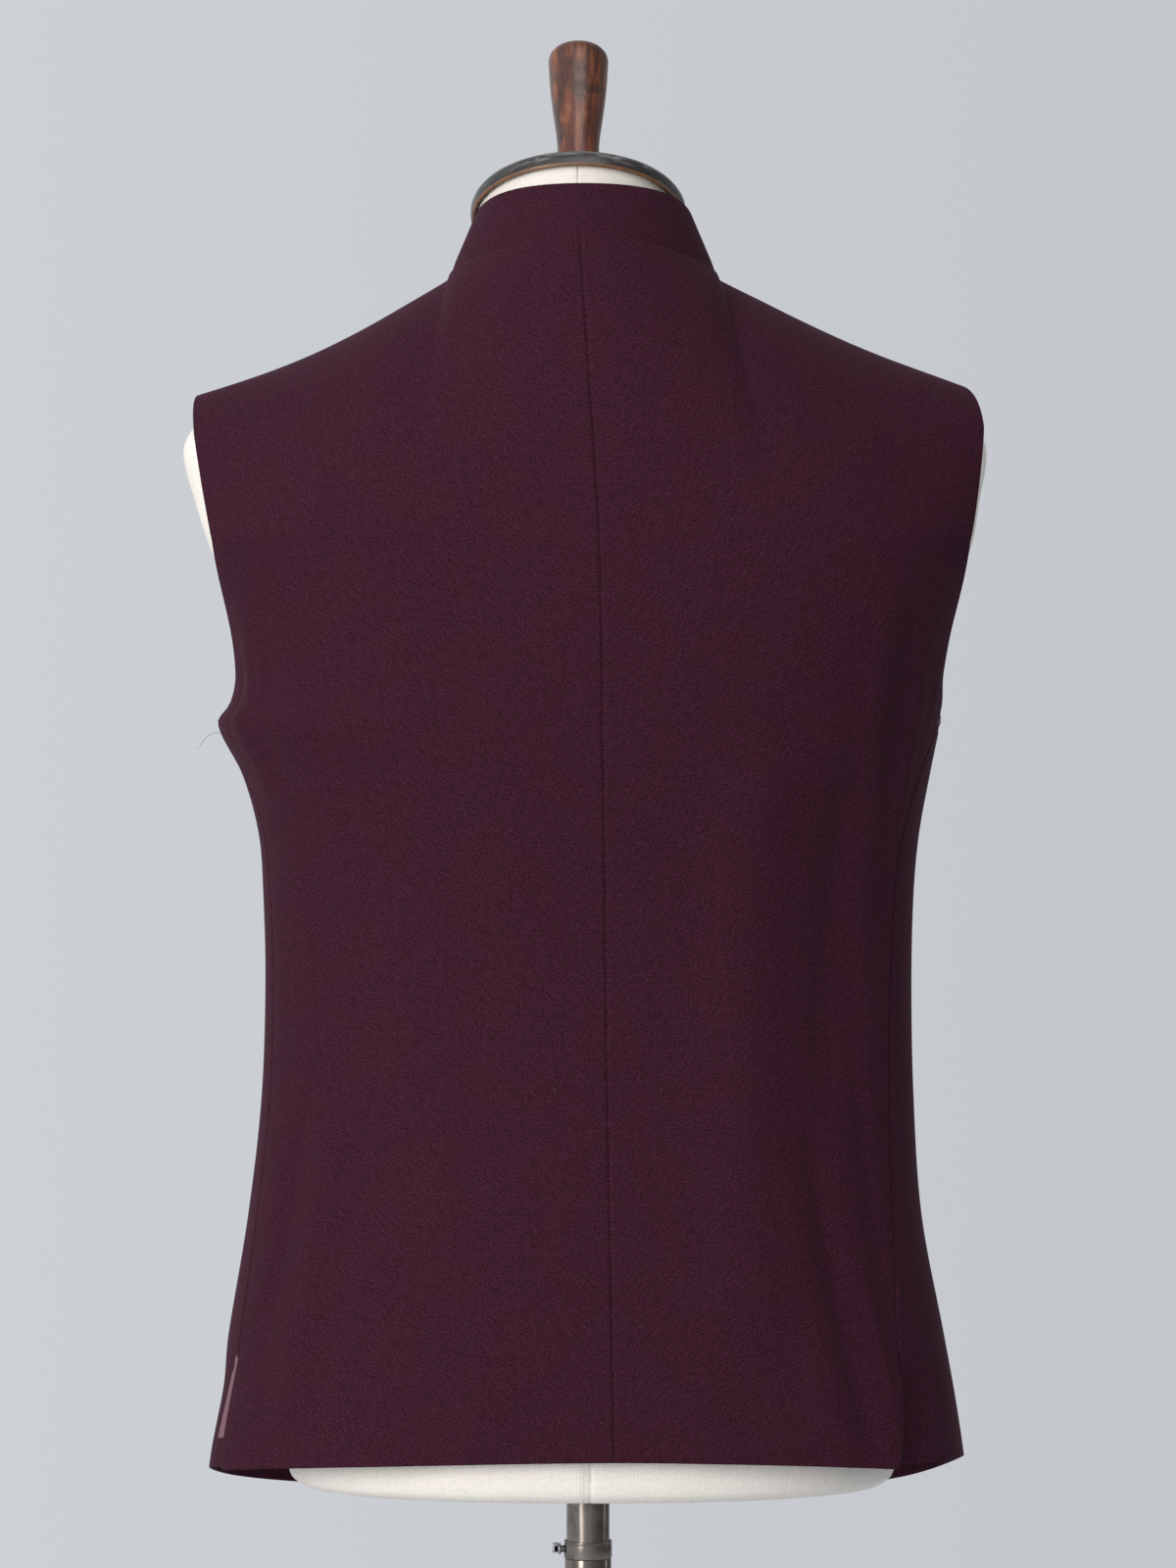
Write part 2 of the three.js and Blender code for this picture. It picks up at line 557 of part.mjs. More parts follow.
// Buttons lie on the left front, along the centre front
function addButtons() {
  const face = panelFace('left', false);
  BUTTON_HEIGHTS.forEach((height, index) => {
    const spot = frontPoint(face, height);
    const geometry = turnedGeometry(BUTTON_PROFILE, BUTTON.sides);
    const button = addMesh(`button_${index + 1}`, geometry, COLOURS.button, 0.5);
    button.quaternion.setFromUnitVectors(new THREE.Vector3(0, 0, 1), spot.normal);
    button.position.copy(spot.point).addScaledVector(spot.normal, BUTTON.lift);
  });
}

// The point and outward normal of the left front on the centre front at a height. The search
// steps along each slope, with a part of the full step upwards so that it settles.
function frontPoint(face, height) {
  const slopeStep = 1e-3;
  const upwardShare = 0.7;
  const normalStep = 0.02;
  let u = 0.05;
  let v = 0.5;
  for (let turn = 0; turn < 40; turn += 1) {
    const here = face(u, v);
    const du = face(u + slopeStep, v).x - face(u - slopeStep, v).x;
    const dv = face(u, v + slopeStep).z - face(u, v - slopeStep).z;
    u -= (here.x / du) * 2 * slopeStep;
    v -= ((here.z - height) / dv) * 2 * slopeStep * upwardShare;
  }
  const along = face(u + normalStep, v).sub(face(u - normalStep, v));
  const up = face(u, v + normalStep).sub(face(u, v - normalStep));
  const normal = up.cross(along).normalize();
  if (normal.y > 0) normal.negate();
  return { point: face(u, v), normal };
}
addButtons();

// Torso: sections from the socket for the pole, over the rounded lower edge, up to the neck
function sectionRing(row, sides) {
  const ring = [];
  for (let j = 0; j < sides; j += 1) {
    const angle = (j / sides) * 2 * Math.PI;
    const sine = Math.sin(angle);
    const cosine = Math.cos(angle);
    const power = 2 / row.power;
    const width = sine > 0 ? row.left : row.right;
    const depth = cosine > 0 ? row.back : row.front;
    ring.push(new THREE.Vector3(
      Math.sign(sine) * width * Math.abs(sine) ** power,
      row.mid + Math.sign(cosine) * depth * Math.abs(cosine) ** power,
      row.z,
    ));
  }
  return ring.reverse();
}

const neckFrame = new THREE.Matrix4()
  .makeRotationX(NECK_LEAN * TO_RADIANS)
  .setPosition(NECK_AXIS.x, NECK_AXIS.y, NECK_AXIS.z);

function tiltedRing(radius, height, sides) {
  const ring = [];
  for (let j = 0; j < sides; j += 1) {
    const angle = (j / sides) * 2 * Math.PI;
    const point = new THREE.Vector3(radius * Math.sin(angle), radius * Math.cos(angle), height);
    ring.push(point.applyMatrix4(neckFrame));
  }
  return ring.reverse();
}

function addTorso() {
  const socket = TORSO_SOCKET;
  const hole = (z) => {
    const ring = [];
    for (let j = 0; j < TORSO_SIDES; j += 1) {
      const angle = (j / TORSO_SIDES) * 2 * Math.PI;
      ring.push(new THREE.Vector3(
        socket.radius * Math.sin(angle), socket.radius * Math.cos(angle), z,
      ));
    }
    return ring.reverse();
  };
  const floor = TORSO_SECTIONS[0].z;
  const rings = [
    hole(floor + socket.depth), hole(floor),
    ...TORSO_SECTIONS.map((row) => sectionRing(row, TORSO_SIDES)),
    ...NECK_RINGS.map((row) => tiltedRing(row.radius, row.height, TORSO_SIDES)),
  ];
  const first = new THREE.Vector3(0, 0, floor + socket.depth);
  const last = new THREE.Vector3(0, 0, -SEAM_GAP).applyMatrix4(neckFrame);
  addMesh('torso', loftGeometry(rings, first, last), COLOURS.canvas, 0.95);
}
addTorso();

// Turned cap on the neck, and the finial that stands on it
function addCapAndFinial() {
  const cap = addMesh('neck_cap', turnedGeometry(CAP_PROFILE, CAP_SIDES), COLOURS.capWood, 0.45);
  cap.applyMatrix4(neckFrame);
  const wood = COLOURS.finialWood;
  const finial = addMesh('finial', turnedGeometry(FINIAL_PROFILE, FINIAL_SIDES), wood, 0.4);
  finial.applyMatrix4(neckFrame);
}
addCapAndFinial();

function tube(outer, inner, low, high) {
  const corners = [[inner, low], [outer, low], [outer, high], [inner, high], [inner, low]];
  return turnedGeometry(corners.map(([radius, height]) => ({ radius, height })), POLE_SIDES);
}

// Closed solids that are cut and joined, for the drilled clamp ring and its screw
const wasm = await Module();
wasm.setup();

function toManifold(geometry) {
  const merged = geometry.clone();
  merged.deleteAttribute('normal');
  merged.deleteAttribute('uv');
  const welded = mergeVertices(merged, 1e-4);
  return new wasm.Manifold(new wasm.Mesh({
    numProp: 3,
    vertProperties: new Float32Array(welded.attributes.position.array),
    triVerts: new Uint32Array(welded.index.array),
  }));
}

function fromManifold(solid) {
  const mesh = solid.getMesh();
  const geometry = new THREE.BufferGeometry();
  const places = new Float32Array(mesh.vertProperties);
  geometry.setAttribute('position', new THREE.BufferAttribute(places, 3));
  geometry.setIndex(Array.from(mesh.triVerts));
  return geometry;
}

// A cylinder along +X from one place to another at a height
function rod(radius, from, to, z, sides) {
  const geometry = new THREE.CylinderGeometry(radius, radius, to - from, sides);
  geometry.rotateZ(-Math.PI / 2);
  geometry.translate((from + to) / 2, 0, z);
  return geometry;
}

// Clamp ring on the outer tube, drilled for the thumb screw that holds the height
function addClamp() {
  const ring = CLAMP_RING;
  const screw = THUMB_SCREW;
  const bore = OUTER_TUBE.radius - OUTER_TUBE.wall;
  const drill = rod(screw.hole, bore - DRILL_RUN, ring.radius + DRILL_RUN, screw.z, screw.sides);
  const hole = toManifold(drill);
  const body = toManifold(tube(ring.radius, bore, ring.low, ring.high)).subtract(hole);
  addMesh('clamp_ring', fromManifold(body), COLOURS.steel, 0.3, 1);
  const tab = new THREE.BoxGeometry(screw.tabEnd - screw.tabStart, screw.tabWidth, screw.tabHeight);
  tab.translate((screw.tabStart + screw.tabEnd) / 2, 0, screw.z);
  const shank = toManifold(rod(screw.shank, screw.tip, screw.tabStart + 1, screw.z, screw.sides));
  addMesh('thumb_screw', fromManifold(shank.add(toManifold(tab))), COLOURS.steel, 0.35, 1);
}

// Cast base with a socket, and the two tubes of the pole
function addStand() {
  const innerTop = TORSO_SECTIONS[0].z + TORSO_SOCKET.depth - SEAM_GAP;
  const inner = INNER_TUBE;
  const outer = OUTER_TUBE;
  const low = BASE_BORE.floor + SEAM_GAP;
  addMesh('base_plate', turnedGeometry(BASE_PROFILE, BASE_SIDES), COLOURS.iron, 0.6, 0.4);
  const outerTube = tube(outer.radius, outer.radius - outer.wall, low, outer.top);
  const innerTube = tube(inner.radius, inner.radius - inner.wall, inner.low, innerTop);
  addMesh('pole_outer', outerTube, COLOURS.steel, 0.25, 1);
  addMesh('pole_inner', innerTube, COLOURS.steel, 0.25, 1);
  addClamp();
}
addStand();

export default part;
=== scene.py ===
"""Band-collar wedding waistcoat on a dress form, seen from behind in soft studio light.

Sizes are in millimetres and turned to metres as each mesh is made. The front of the
waistcoat faces -Y, and the wearer's left is +X.
"""
import logging
import math
from collections.abc import Callable, Sequence
from dataclasses import dataclass
from enum import Enum

import bpy
import numpy as np
from mathutils import Matrix, Vector


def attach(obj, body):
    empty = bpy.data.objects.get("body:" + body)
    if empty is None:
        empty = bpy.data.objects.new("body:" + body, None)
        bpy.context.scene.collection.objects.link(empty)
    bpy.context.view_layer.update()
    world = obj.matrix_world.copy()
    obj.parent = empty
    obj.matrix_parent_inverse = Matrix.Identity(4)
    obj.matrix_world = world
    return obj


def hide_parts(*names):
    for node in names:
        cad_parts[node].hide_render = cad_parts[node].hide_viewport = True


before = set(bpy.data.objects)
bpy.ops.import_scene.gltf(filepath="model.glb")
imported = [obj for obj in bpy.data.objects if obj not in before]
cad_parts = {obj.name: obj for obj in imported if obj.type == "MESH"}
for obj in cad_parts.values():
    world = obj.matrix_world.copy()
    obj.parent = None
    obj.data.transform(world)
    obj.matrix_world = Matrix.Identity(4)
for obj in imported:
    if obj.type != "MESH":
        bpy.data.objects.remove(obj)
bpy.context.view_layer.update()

MM = 0.001
DEGREE = math.pi / 180
SLOPE_STEP = 1e-3
# Distances from an edge, in millimetres, where a sheet has its first rows
EDGE_STEPS = (0, 0.12, 0.35, 0.7, 1.2, 2, 3.2)
# How uneven a sewn seam is, and the two lengths that its pucker repeats over
PUCKER = 0.15
PUCKER_SHORT = 3.7
PUCKER_LONG = 11
# A direction that no thread runs in
THREAD_GUIDE = (0.31, 0.17, 0.94)
SMOOTH_ANGLE = 35 * DEGREE
# Kinds of shader node
NOISE = "ShaderNodeTexNoise"
WAVE = "ShaderNodeTexWave"
CELLS = "ShaderNodeTexVoronoi"
MAPPING = "ShaderNodeMapping"
MAP_RANGE = "ShaderNodeMapRange"
PLACE = "ShaderNodeTexCoord"
CLOTH_UV = "ShaderNodeUVMap"
DRILL_LENGTH = 8
Surface = Callable[[np.ndarray, np.ndarray], np.ndarray]
Piece = bpy.types.Object
Finish = bpy.types.Material
Tree = bpy.types.NodeTree
Socket = bpy.types.NodeSocket
log = logging.getLogger("waistcoat")


class Side(Enum):
    """The wearer's side that a panel lies on, with its sign along X."""

    LEFT = 1
    RIGHT = -1

    @property
    def column(self) -> str:
        """The side's column in the tables."""
        return self.name.lower()


class Layer(Enum):
    """Whether a panel lies on the back or on the front."""

    BACK = "back"
    FRONT = "front"


def lerp(start: np.ndarray, end: np.ndarray, share: np.ndarray) -> np.ndarray:
    """The value a share of the way from start to end."""
    return start + (end - start) * share


def smooth(share: np.ndarray) -> np.ndarray:
    """An even rise from 0 to 1 that starts and ends level."""
    c = np.clip(share, 0, 1)
    return c * c * (3 - 2 * c)


def bell(distance: np.ndarray, width: float) -> np.ndarray:
    """A soft bump that is 1 at no distance and fades over width."""
    return np.exp(-((distance / width) ** 2))


def unit(vectors: np.ndarray) -> np.ndarray:
    """The vectors at length 1."""
    return vectors / np.linalg.norm(vectors, axis=-1, keepdims=True)


@dataclass(frozen=True)
class Table:
    """Rows of sizes, read along a smooth curve by their first column."""

    columns: tuple[str, ...]
    rows: tuple[tuple[float, ...], ...]

    def column(self, name: str) -> np.ndarray:
        """One column's values."""
        place = self.columns.index(name)
        return np.array([row[place] for row in self.rows], float)

    def read(self, name: str, at: np.ndarray) -> np.ndarray:
        """Reads a column at any key.

        Args:
            name: the column.
            at: the keys, clipped to the table's ends.

        Returns:
            The values on a cubic curve through the rows.
        """
        keys = self.column(self.columns[0])
        values = self.column(name)
        at = np.clip(at, keys[0], keys[-1])
        i = np.clip(np.searchsorted(keys, at, side="left") - 1, 0, len(keys) - 2)
        ahead = np.append(values[1:], values[-1]) - np.append(values[0], values[:-1])
        slope = ahead / (np.append(keys[1:], keys[-1]) - np.append(keys[0], keys[:-1]))
        step = keys[i + 1] - keys[i]
        s = (at - keys[i]) / step
        a = 2 * s**3 - 3 * s**2 + 1
        b = s**3 - 2 * s**2 + s
        c = s**3 - s**2
        return a * values[i] + b * step * slope[i] + (1 - a) * values[i + 1] + c * step * slope[i + 1]


# The last column tells how much squarer than an ellipse a section is
BODY_SECTIONS = Table(
    ("z", "left", "right", "back", "front", "square"),
    (
        (585, 215.5, 214.5, 119, 134, 0.12),
        (616, 212, 211, 118, 133, 0.11),
        (649, 206, 206, 116, 132, 0.1),
        (682, 202, 200, 113, 130, 0.08),
        (749, 191, 187.5, 106, 126.5, 0.06),
        (815, 183.5, 183, 100, 121.5, 0.04),
        (880, 181.3, 181.8, 98, 118.5, 0.04),
        (930, 182.5, 183, 102.5, 118.5, 0.05),
        (963, 185, 186, 107.5, 120.5, 0.07),
        (996, 194, 192, 113, 123, 0.09),
        (1025, 208, 198, 118, 125, 0.1),
        (1036, 202, 200.5, 119.5, 125, 0.11),
        (1052, 200, 202.5, 121.5, 125.5, 0.12),
        (1085, 207, 210.5, 124.5, 125, 0.14),
        (1130, 228, 232, 126, 122, 0.16),
    ),
)
SIDE_SEAM = Table(
    ("z", "left", "right"),
    (
        (600, 67.4, 48.5),
        (627, 71.3, 52.2),
        (652, 72.8, 54.8),
        (682, 71.8, 56.3),
        (749, 73.9, 62.6),
        (880, 74.7, 66.5),
        (963, 76.2, 68.3),
        (1000, 80.4, 72.6),
        (1025, 86.5, 80),
    ),
)
ARMHOLE = Table(
    ("z", "left", "right", "front"),
    (
        (1025, 86.5, 80, 88),
        (1034, 81.7, 79.3, 97),
        (1052, 77.7, 76, 104),
        (1085, 73, 73.2, 108.5),
        (1125, 62.8, 62.7, 116),
    ),
)
CENTRE_BACK = Table(
    ("z", "x"),
    ((620, -13), (720, -12), (880, -9.5), (1050, -7), (1180, -3.5), (1292, 4.5)),
)
ARMHOLE_FOOT = 1025
FOLD_FADE = 25
FOLD_RADIUS = 190


@dataclass(frozen=True)
class Fold:
    """A soft ridge, or a trough where height is negative, that runs up the cloth.

    Angles are in degrees round the body from the centre back.
    """

    low: float
    high: float
    low_at: float
    high_at: float
    width: float
    height: float
    fade: float = FOLD_FADE

    def rise(self, angle: np.ndarray, z: np.ndarray) -> np.ndarray:
        """How far the fold lifts the cloth at an angle and a height."""
        along = np.clip((z - self.low) / (self.high - self.low), 0, 1)
        at = lerp(self.low_at, self.high_at, along)
        fade_in = smooth((z - self.low + self.fade) / (2 * self.fade))
        fade_out = smooth((self.high + self.fade - z) / (2 * self.fade))
        across = (angle - at) * DEGREE * FOLD_RADIUS
        return self.height * fade_in * fade_out * bell(across, self.width)


# The main folds, where the solids have theirs, some of them shallower
FOLDS = (
    Fold(990, 1085, 67, 65, 10, 1.5),
    Fold(985, 1065, 58, 57, 10, -1.2),
    Fold(1005, 1090, -50, -47, 11, 1.5),
    Fold(985, 1085, -58, -55, 10, -1.7),
    Fold(970, 1050, -65, -63, 9, 1.3),
    Fold(700, 1000, -27, -28, 27, 4.5),
    Fold(820, 1000, -46, -47, 18, -3),
    Fold(625, 770, -38, -35, 13, 1.8),
    Fold(620, 800, -45, -41, 11, -2.2),
    Fold(640, 810, 50, 48, 15, 3),
    Fold(680, 800, 60, 58, 11, -2.5),
    Fold(600, 830, 128, 122, 17, 3.5),
    Fold(600, 790, -131, -124, 16, 3),
    Fold(1000, 1090, 118, 121, 12, 2.5),
    Fold(990, 1085, -117, -120, 12, 3),
)

# Finer creases of the worn cloth, uneven in length, width and depth
CREASES = (
    Fold(1010, 1062, 62.5, 60.5, 5, 0.5, 14),
    Fold(1020, 1050, 72, 70, 5, -0.5, 12),
    Fold(1000, 1062, -70, -72.5, 5, 0.5, 16),
    Fold(905, 1000, -62, -60, 7, -1.1),
    Fold(700, 905, -56, -52, 10, -1.3),
    Fold(650, 720, -52, -50, 5, 1.2, 16),
    Fold(618, 664, -57, -55.5, 4, 0.8, 12),
    Fold(612, 660, 30, 29, 14, 0.9),
    Fold(612, 700, 8, 7, 18, -0.7),
    Fold(612, 668, -18, -17, 13, 0.8),
    Fold(840, 960, 40, 44, 16, -0.9),
    Fold(870, 1010, 24, 30, 20, 0.7),
    Fold(600, 720, 152, 150, 15, -1.6),
    Fold(640, 860, 104, 100, 10, -1.4),
    Fold(900, 1010, 100, 106, 8, 1.2),
    Fold(595, 700, -156, -153, 14, -1.4),
    Fold(650, 850, -106, -102, 11, -1.5),
    Fold(905, 1000, -101, -106, 8, 1.3),
    Fold(1010, 1085, 136, 134, 14, -1.2),
    Fold(1005, 1075, -138, -135, 15, -1.3),
)


@dataclass(frozen=True)
class NeckRing:
    """A ring round the neck that falls towards the front."""

    x: float
    half_width: float
    y: float
    half_depth: float
    side: float
    linear: float
    square: float
    cube: float

    def point(self, angle: np.ndarray) -> np.ndarray:
        """The ring's point at an angle in degrees from the centre back."""
        c = np.cos(angle * DEGREE)
        x = self.x + self.half_width * np.sin(angle * DEGREE)
        y = self.y + self.half_depth * c
        z = self.side + self.linear * c + self.square * c**2 + self.cube * c**3
        return np.stack([x, y, z], -1)


NECK_SEAM = NeckRing(2.5, 75.5, 12.5, 70.5, 1273.5, 16.4, -13.5, 15.6)
COLLAR_TOP = NeckRing(2.5, 61.8, 4, 58, 1304, 31, -12, 0)


@dataclass(frozen=True)
class Shoulder:
    """A shoulder's tip, the sag of its seam, and the swell of the armhole's edge under the tip."""

    tip: tuple[float, float, float]
    sag: float
    swell: float
    hem_level: float
    full: float = 0.72
    growth: float = 0.85
    round: float = 8
    edge: float = 0.7

    def swell_at(self, u: np.ndarray, rise: np.ndarray) -> np.ndarray:
        """How far the armhole's edge swells outwards at a share of its rise to the tip."""
        grown = np.minimum(1, (np.maximum(0, rise) / self.full) ** self.growth)
        rounded = np.sqrt(np.maximum(0, 1 - np.maximum(0, rise) ** self.round))
        return self.swell * grown * rounded * smooth((u - self.edge) / (1 - self.edge))


# hem_level is the share of a front's width where its hem leaves the height of the side seam
SHOULDERS = {
    Side.LEFT: Shoulder((219, 4, 1209), 7, 3, 0.95),
    Side.RIGHT: Shoulder((-207, 4, 1214.5), 3.2, 12, 0.745),
}


def fold_height(angle: np.ndarray, z: np.ndarray) -> np.ndarray:
    """How far all the folds and creases lift the cloth."""
    return sum(fold.rise(angle, z) for fold in FOLDS + CREASES)


def body_point(angle: np.ndarray, z: np.ndarray, lift: np.ndarray) -> np.ndarray:
    """A point of the cloth's outer face.

    Args:
        angle: degrees from the centre back, positive on the wearer's left.
        z: height.
        lift: how far the point stands off the plain section, as at the vents.

    Returns:
        Points, in millimetres.
    """
    square = BODY_SECTIONS.read("square", z)
    sine = np.sin(angle * DEGREE)
    cosine = np.cos(angle * DEGREE)
    is_left = (angle >= 0) & (angle <= 180)
    width = np.where(is_left, BODY_SECTIONS.read("left", z), BODY_SECTIONS.read("right", z))
    depth = np.where(cosine > 0, BODY_SECTIONS.read("back", z), BODY_SECTIONS.read("front", z))
    x = width * sine * (1 + square * cosine**2)
    y = depth * cosine * (1 + square * sine**2)
    out = unit(np.stack([sine * depth, cosine * width, np.zeros_like(x)], -1))
    return np.stack([x, y, z], -1) + out * (lift + fold_height(angle, z))[..., None]


@dataclass(frozen=True)
class Panel:
    """One of the four panels of the waistcoat, as a face over (u, v).

    u runs from the centre seam or front edge to the outer edge. v runs from the hem at 0
    through the body rows to 1, and over the shoulder to the neck and shoulder seams at 2.
    """

    name: str
    side: Side
    layer: Layer
    seam_gap: float = -0.4
    extension: float = 12
    vent_top: float = 682
    vent_low: float = 611.5
    vent_gap: float = 0.6
    vent_gap_run: float = 16
    vent_reach: float = 42
    back_lift: float = 2.5
    front_tuck: float = 6.5
    front_run: float = 32
    underlap: float = 10
    underlap_start: float = 0.1
    underlap_rise: float = 0.5
    neck_share: float = 0.36
    back_turn: float = 60
    back_turn_share: float = 0.5
    front_turn: float = 48
    dip: tuple[float, float] = (3.3, 2.0)
    dip_fade: tuple[float, float] = (1.6, 0.4)
    dip_edge: float = -48
    dip_run: float = 22
    row_curve: float = 1.6
    hem_end: float = 0.27
    hem_rim: float = 0.13
    rim_from: float = 0.6
    hem_run: float = 0.2

    @property
    def is_back(self) -> bool:
        """Whether it is a back panel."""
        return self.layer is Layer.BACK

    @property
    def flip(self) -> bool:
        """Whether the face's own normal points inwards."""
        return (self.side is Side.LEFT) == self.is_back

    @property
    def hem(self) -> tuple[float, float]:
        """Height of the hem at the centre and at the side."""
        heights = {
            (Layer.BACK, Side.LEFT): (624, 611.5),
            (Layer.BACK, Side.RIGHT): (624, 616),
            (Layer.FRONT, Side.LEFT): (582.5, 611.5),
            (Layer.FRONT, Side.RIGHT): (582.5, 618.2),
        }
        return heights[self.layer, self.side]

    @property
    def line(self) -> tuple[float, float]:
        """Height of the last body row at the centre and at the side."""
        return (1130, 1125) if self.is_back else (1080, 1106)

    def share(self, z: float) -> float:
        """The v of a height at the outer edge."""
        return (z - self.hem[1]) / (self.line[1] - self.hem[1])

    def inner_angle(self, z: np.ndarray) -> np.ndarray:
        """Angle of the centre-back seam or of the front edge."""
        sign = self.side.value
        if self.is_back:
            x = CENTRE_BACK.read("x", z) + sign * self.seam_gap / 2
            return np.arcsin(x / BODY_SECTIONS.read("left", z)) / DEGREE
        past = self.extension / BODY_SECTIONS.read(self.side.column, z)
        return sign * (180 + past / DEGREE)

    def outer_angle(self, z: np.ndarray) -> np.ndarray:
        """Angle of the side seam below the armhole, and of the armhole's edge above."""
        armhole = ARMHOLE.read(self.side.column if self.is_back else "front", z)
        return np.where(z <= ARMHOLE_FOOT, SIDE_SEAM.read(self.side.column, z), armhole)

    def body(self, u: np.ndarray, z_outer: np.ndarray) -> np.ndarray:
        """The face below the shoulder, by the height of its row at the outer edge."""
        sign = self.side.value
        share = self.share(z_outer)
        z_inner = lerp(self.hem[0], self.line[0], share)
        z = lerp(z_inner, z_outer, self.row_share(u, share))
        width = BODY_SECTIONS.read(self.side.column, z)
        vent = smooth((self.vent_top - z_outer) / (self.vent_top - self.vent_low))
        opened = smooth((self.vent_top - z_outer) / self.vent_gap_run)
        apart = self.seam_gap / 2 + self.vent_gap * opened
        gap = (-apart if self.is_back else apart) / width / DEGREE
        tucked = smooth((vent - self.underlap_start) / self.underlap_rise)
        tuck = 0 if self.is_back else tucked * self.underlap / width / DEGREE
        outer = sign * (self.outer_angle(z_outer) + gap - tuck)
        angle = lerp(self.inner_angle(z_inner), outer, u)
        from_edge = np.abs(angle - outer) * DEGREE * width
        run = self.vent_top - self.vent_low if self.is_back else self.front_run
        spread = smooth((self.vent_top - z) / run) * bell(from_edge, self.vent_reach)
        return body_point(angle, z, spread * (self.back_lift if self.is_back else -self.front_tuck))

    def row_share(self, u: np.ndarray, share: np.ndarray) -> np.ndarray:
        """How far a point of a row is from its inner height to its outer one."""
        even = np.abs(u) ** self.row_curve
        if self.is_back:
            return even
        level_from = SHOULDERS[self.side].hem_level
        main = smooth((u - self.hem_end) / (level_from - self.hem_end))
        rim = smooth((u - self.rim_from) / (1 - self.rim_from))
        return lerp(lerp(main, rim, self.hem_rim), even, smooth(share / self.hem_run))

    def top_edge(self, u: np.ndarray) -> np.ndarray:
        """The neck seam and then the shoulder seam, out to the tip."""
        sign = self.side.value
        half = self.seam_gap / 2
        apart = half if self.is_back else -half
        seam = (CENTRE_BACK.rows[-1][1] + sign * half - NECK_SEAM.x) / NECK_SEAM.half_width
        past = self.extension / NECK_SEAM.half_width
        start_angle = math.asin(seam) / DEGREE if self.is_back else sign * (180 + past / DEGREE)
        share = u / self.neck_share
        neck = NECK_SEAM.point(lerp(start_angle, sign * 90, share))
        neck[..., 1] += apart * smooth(5 * share - 4)
        s = ((u - self.neck_share) / (1 - self.neck_share))[..., None]
        start = NECK_SEAM.point(np.array(sign * 90.0))
        tip = SHOULDERS[self.side]
        shoulder = lerp(start, np.array(tip.tip, float), s)
        shoulder[..., 1] += apart
        shoulder[..., 2] -= tip.sag * np.sin(math.pi * np.clip(s[..., 0], 0, 1))
        return np.where((u <= self.neck_share)[..., None], neck, shoulder)

    def plain_face(self, u: np.ndarray, v: np.ndarray) -> np.ndarray:
        """The face without the underlap."""
        body = self.body(u, lerp(self.hem[1], self.line[1], np.minimum(v, 1)))
        w = np.maximum(v - 1, 0)
        top = self.top_edge(u)
        back = (self.back_turn, self.back_turn_share)
        neck_turn, turn_share = back if self.is_back else (self.front_turn, self.neck_share)
        turn = lerp(neck_turn, 90, smooth(np.maximum(u, 0) / turn_share)) * DEGREE
        rise = np.sin(w * turn) / np.sin(turn)
        reach = (np.cos(w * turn) - np.cos(turn)) / (1 - np.cos(turn))
        swell = SHOULDERS[self.side].swell_at(u, rise)
        x = lerp(body[..., 0], top[..., 0], rise) + self.side.value * swell
        y = lerp(top[..., 1], body[..., 1], reach)
        z = lerp(body[..., 2], top[..., 2], rise)
        return np.where((v <= 1)[..., None], body, np.stack([x, y, z], -1))

    def face(self, u: np.ndarray, v: np.ndarray) -> np.ndarray:
        """The outer face. The right front dips under the left one near its edge."""
        points = self.plain_face(u, v)
        if self.is_back or self.side is Side.LEFT:
            return points
        fade_from, fade_run = self.dip_fade
        dip = lerp(*self.dip, smooth((v - fade_from) / fade_run))
        dip = dip * smooth((points[..., 0] - self.dip_edge) / self.dip_run)
        return points - face_normal(self.plain_face, u, v, self.flip) * dip[..., None]


def face_normal(surface: Surface, u: np.ndarray, v: np.ndarray, flip: bool) -> np.ndarray:
    """The outward normal of a face at (u, v)."""
    along = surface(u + SLOPE_STEP, v) - surface(u - SLOPE_STEP, v)
    up = surface(u, v + SLOPE_STEP) - surface(u, v - SLOPE_STEP)
    return unit(np.cross(along, up)) * (-1 if flip else 1)


def graded(count: int, length: float, start: float = 0, end: float = 1) -> np.ndarray:
    """Steps from start to end, close together at both ends so that edges can round.

    Args:
        count: even steps in the middle.
        length: the real length that the steps cover, in millimetres.
        start: first value.
        end: last value.
    """
    near = np.array(EDGE_STEPS) / length
    inner = np.linspace(near[-1], 1 - near[-1], count)
    return lerp(start, end, np.concatenate([near[:-1], inner, 1 - near[-2::-1]]))


def run_length(points: np.ndarray, axis: int) -> np.ndarray:
    """How far each point of a grid lies from the grid's first row or column."""
    steps = np.linalg.norm(np.diff(points, axis=axis), axis=-1)
    first = np.zeros_like(np.take(steps, [0], axis=axis))
    return np.concatenate([first, np.cumsum(steps, axis=axis)], axis=axis)


@dataclass(frozen=True)
class Seams:
    """Which edges of a sheet are sewn to a neighbour, each from 0 to 1.

    Outer_low and outer_high are the outer edge below and above the row at split.
    """

    inner: float = 0
    outer_low: float = 0
    outer_high: float = 0
    low: float = 0
    high: float = 0
    split: float = 0
    depth: float = 0.95
    reach: float = 0.9
    deepest: float = 1.6


